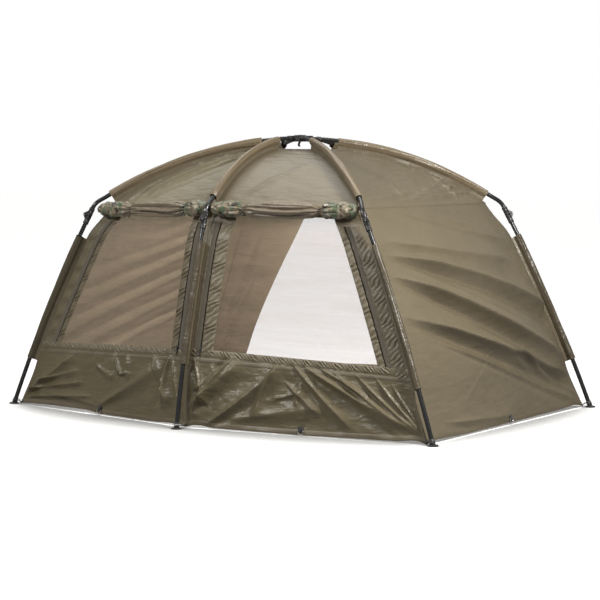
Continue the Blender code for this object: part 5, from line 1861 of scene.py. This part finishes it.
def make_foot_cords():
    """Webbing from each hem corner to the foot, with its elastic loop round the pole."""
    for n, rib in RIBS.items():
        hem, out = rib.hem, rib.leg_out
        side = np.cross(UP, out)
        line = smooth_line([hem + UP * 0.016 - out * 0.006, hem + UP * 0.012 + out * 0.006,
                            hem + UP * 0.008 + out * 0.016, hem + UP * 0.0055 + out * 0.024,
                            hem + UP * 0.0075 + out * 0.026, hem + UP * 0.011 + out * 0.016,
                            hem + UP * 0.015 + out * 0.004], 40)
        attach(ribbon(f"hem_corner_tab_{n}", line, 0.018, 0.0014, side, WEBBING),
               f"leg_{n}_body", "webbing")
        height = 0.020
        centre = rib.leg(rib.leg_share(height))
        loop = []
        for a in np.linspace(-2.6, 2.6, 30):
            around = out * math.cos(a) * 0.0145 + side * math.sin(a) * 0.0145
            loop.append(centre + around + UP * 0.002 * math.sin(2 * a))
        start = hem + out * 0.022 + side * 0.005 + UP * 0.006
        finish_point = hem + out * 0.022 - side * 0.005 + UP * 0.006
        first = np.array(loop[0]) - out * 0.008
        last = np.array(loop[-1]) - out * 0.008
        points = smooth_line(np.array([start, first, *loop[3:-3:4], last, finish_point]), 70)
        attach(tube(f"foot_cord_{n}", points, 0.0018, BUNGEE if n in (2, 5) else WEBBING, 8),
               f"leg_{n}_body", "webbing")


make_sliders()
make_rings()
make_foot_cords()

# What stands for what

STANDS_FOR = {
    "left_roof": "roof_left_6", "right_roof": "roof_right_3",
    "left_side_wall": "left_wall_by_pole_6", "right_side_wall": "right_wall_by_pole_3",
    "rear_right_wall": "rear_right_wall_by_pole_4", "rear_left_wall": "rear_left_wall_by_pole_5",
    "rear_window_mesh": "rear_window_by_pole_5",
    "front_left_surround": "front_left_skirt_by_pole_1",
    "front_right_surround": "front_right_skirt_by_pole_2",
    "front_left_mesh": "front_left_mesh_by_pole_1", "front_right_mesh": "front_right_mesh_by_pole_2",
}
for node, cloth in STANDS_FOR.items():
    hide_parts(node)
for key, cloth in CLOTHS.items():
    declare_cloth(cloth)

# Floor, light and camera

# The painted contact shadow on the floor has its own reach in metres and its own darkest colour
FLOOR_REACH, FLOOR_PAINTED_SHADOW_REACH, FLOOR_GLOW = 40, 1.1, 0.37
FLOOR_COLOUR, FLOOR_PAINTED_SHADOW_COLOUR = (0.86, 0.86, 0.865), (0.14, 0.137, 0.132)
FLOOR_BOUNCE_COLOUR, WHITE = (0.20, 0.20, 0.20), (1.0, 1.0, 1.0)
SKY_COLOUR, SKY_STRENGTH = (0.96, 0.98, 1.0), 0.23
SKY_LIGHT_COLOUR, LAMP_COLOUR = (1.0, 0.985, 0.955), (1.0, 0.985, 0.95)
# The photo's viewpoint: place in metres, turn and dip in radians, lens in millimetres
CAMERA_PLACE, CAMERA_HEADING, CAMERA_DOWN, CAMERA_LENS = (5.55, -8.01, 1.31), 0.606, 0.0772, 111.7


def make_floor():
    """A pale floor that glows a little for the camera; near the tent its colour and glow are painted
    darker from ambient occlusion, a painted contact shadow.
    """
    shape = bmesh.new()
    bmesh.ops.create_grid(shape, x_segments=1, y_segments=1, size=FLOOR_REACH)
    made = new_finish("pale_floor", FLOOR_COLOUR, 0.9, Specular_IOR_Level=0.1)
    n = Nodes(made.node_tree)
    # Painted contact shadow: ambient occlusion darkens the floor's colour and glow near the tent
    open_share = n.add("ShaderNodeAmbientOcclusion", samples=12, Distance=FLOOR_PAINTED_SHADOW_REACH)
    shade = n.add("ShaderNodeMapRange", interpolation_type="SMOOTHSTEP",
                  Value=open_share.outputs["AO"], From_Min=0.50, From_Max=0.93, To_Min=0.10)
    shade = shade.outputs["Result"]
    n.finish(n.mix(shade, FLOOR_PAINTED_SHADOW_COLOUR, FLOOR_COLOUR))
    seen = n.seen_directly()
    glow = n.math("MULTIPLY", n.math("MULTIPLY", seen, FLOOR_GLOW), shade)
    both = n.add("ShaderNodeAddShader")
    bounced = n.add("ShaderNodeBsdfDiffuse", Color=FLOOR_BOUNCE_COLOUR)
    n.link(n.either(seen, bounced, n.shader).outputs[0], both.inputs[0])
    glowing = n.add("ShaderNodeEmission", Color=WHITE, Strength=glow)
    n.link(glowing.outputs[0], both.inputs[1])
    n.link(both.outputs[0], made.node_tree.nodes["Material Output"].inputs["Surface"])
    from_bmesh("studio_floor", shape, made)


def make_world():
    """White where the camera sees it, and dim for the light that falls on the tent."""
    world = bpy.data.worlds.new("studio")
    SCENE.world = world
    world.use_nodes = True
    world.node_tree.nodes.clear()
    n = Nodes(world.node_tree)
    dim = n.add("ShaderNodeBackground", Color=SKY_COLOUR, Strength=SKY_STRENGTH)
    white = n.add("ShaderNodeBackground", Color=WHITE, Strength=1.0)
    shown = n.either(n.seen_directly(), dim, white)
    n.link(shown.outputs[0], n.add("ShaderNodeOutputWorld").inputs["Surface"])


def put_in_scene(name, data, matrix):
    obj = bpy.data.objects.new(name, data)
    SCENE.collection.objects.link(obj)
    obj.matrix_world = matrix
    return obj


def area_light(name, place, target, size, power, colour=WHITE):
    data = bpy.data.lights.new(name, "AREA")
    data.shape, data.size, data.energy, data.color = "DISK", size, power, colour
    turn = (Vector(target) - Vector(place)).to_track_quat("-Z", "Y")
    put_in_scene(name, data, Matrix.Translation(place) @ turn.to_matrix().to_4x4())


def sky_light(name, towards, strength, angle):
    data = bpy.data.lights.new(name, "SUN")
    data.energy, data.angle, data.color = strength, angle, SKY_LIGHT_COLOUR
    turn = Vector(towards).to_track_quat("Z", "Y")
    put_in_scene(name, data, turn.to_matrix().to_4x4())


def make_lights():
    """Soft light from overhead and behind, a key from the front for the folds' highlights,
    a lower one for the right side, and the glow that comes through the cloth inside."""
    sky_light("overhead", (-0.15, 0.15, 1.0), 1.45, 0.90)
    sky_light("behind", (-0.6, 0.5, 0.75), 0.32, 0.60)
    area_light("key", (-1.0, -4.8, 3.4), (0, -0.5, 0.6), 0.8, 80, LAMP_COLOUR)
    area_light("left", (-3.4, -4.6, 4.2), (0, -0.6, 0.5), 0.8, 88, LAMP_COLOUR)
    area_light("side", (3.0, -1.0, 2.45), (1.0, -0.2, 0.80), 0.7, 112, LAMP_COLOUR)
    area_light("inside", (0, 0, 1.16), (0, 0, 0), 1.1, 62)


def make_camera():
    data = bpy.data.cameras.new("photo_view")
    data.lens, data.sensor_width = CAMERA_LENS, 36
    turn = Matrix.Rotation(CAMERA_HEADING, 4, "Z")
    turn = turn @ Matrix.Rotation(math.pi / 2 - CAMERA_DOWN, 4, "X")
    SCENE.camera = put_in_scene("photo_view", data, Matrix.Translation(CAMERA_PLACE) @ turn)


make_floor()
make_world()
make_lights()
make_camera()
SCENE.view_settings.view_transform = "Standard"
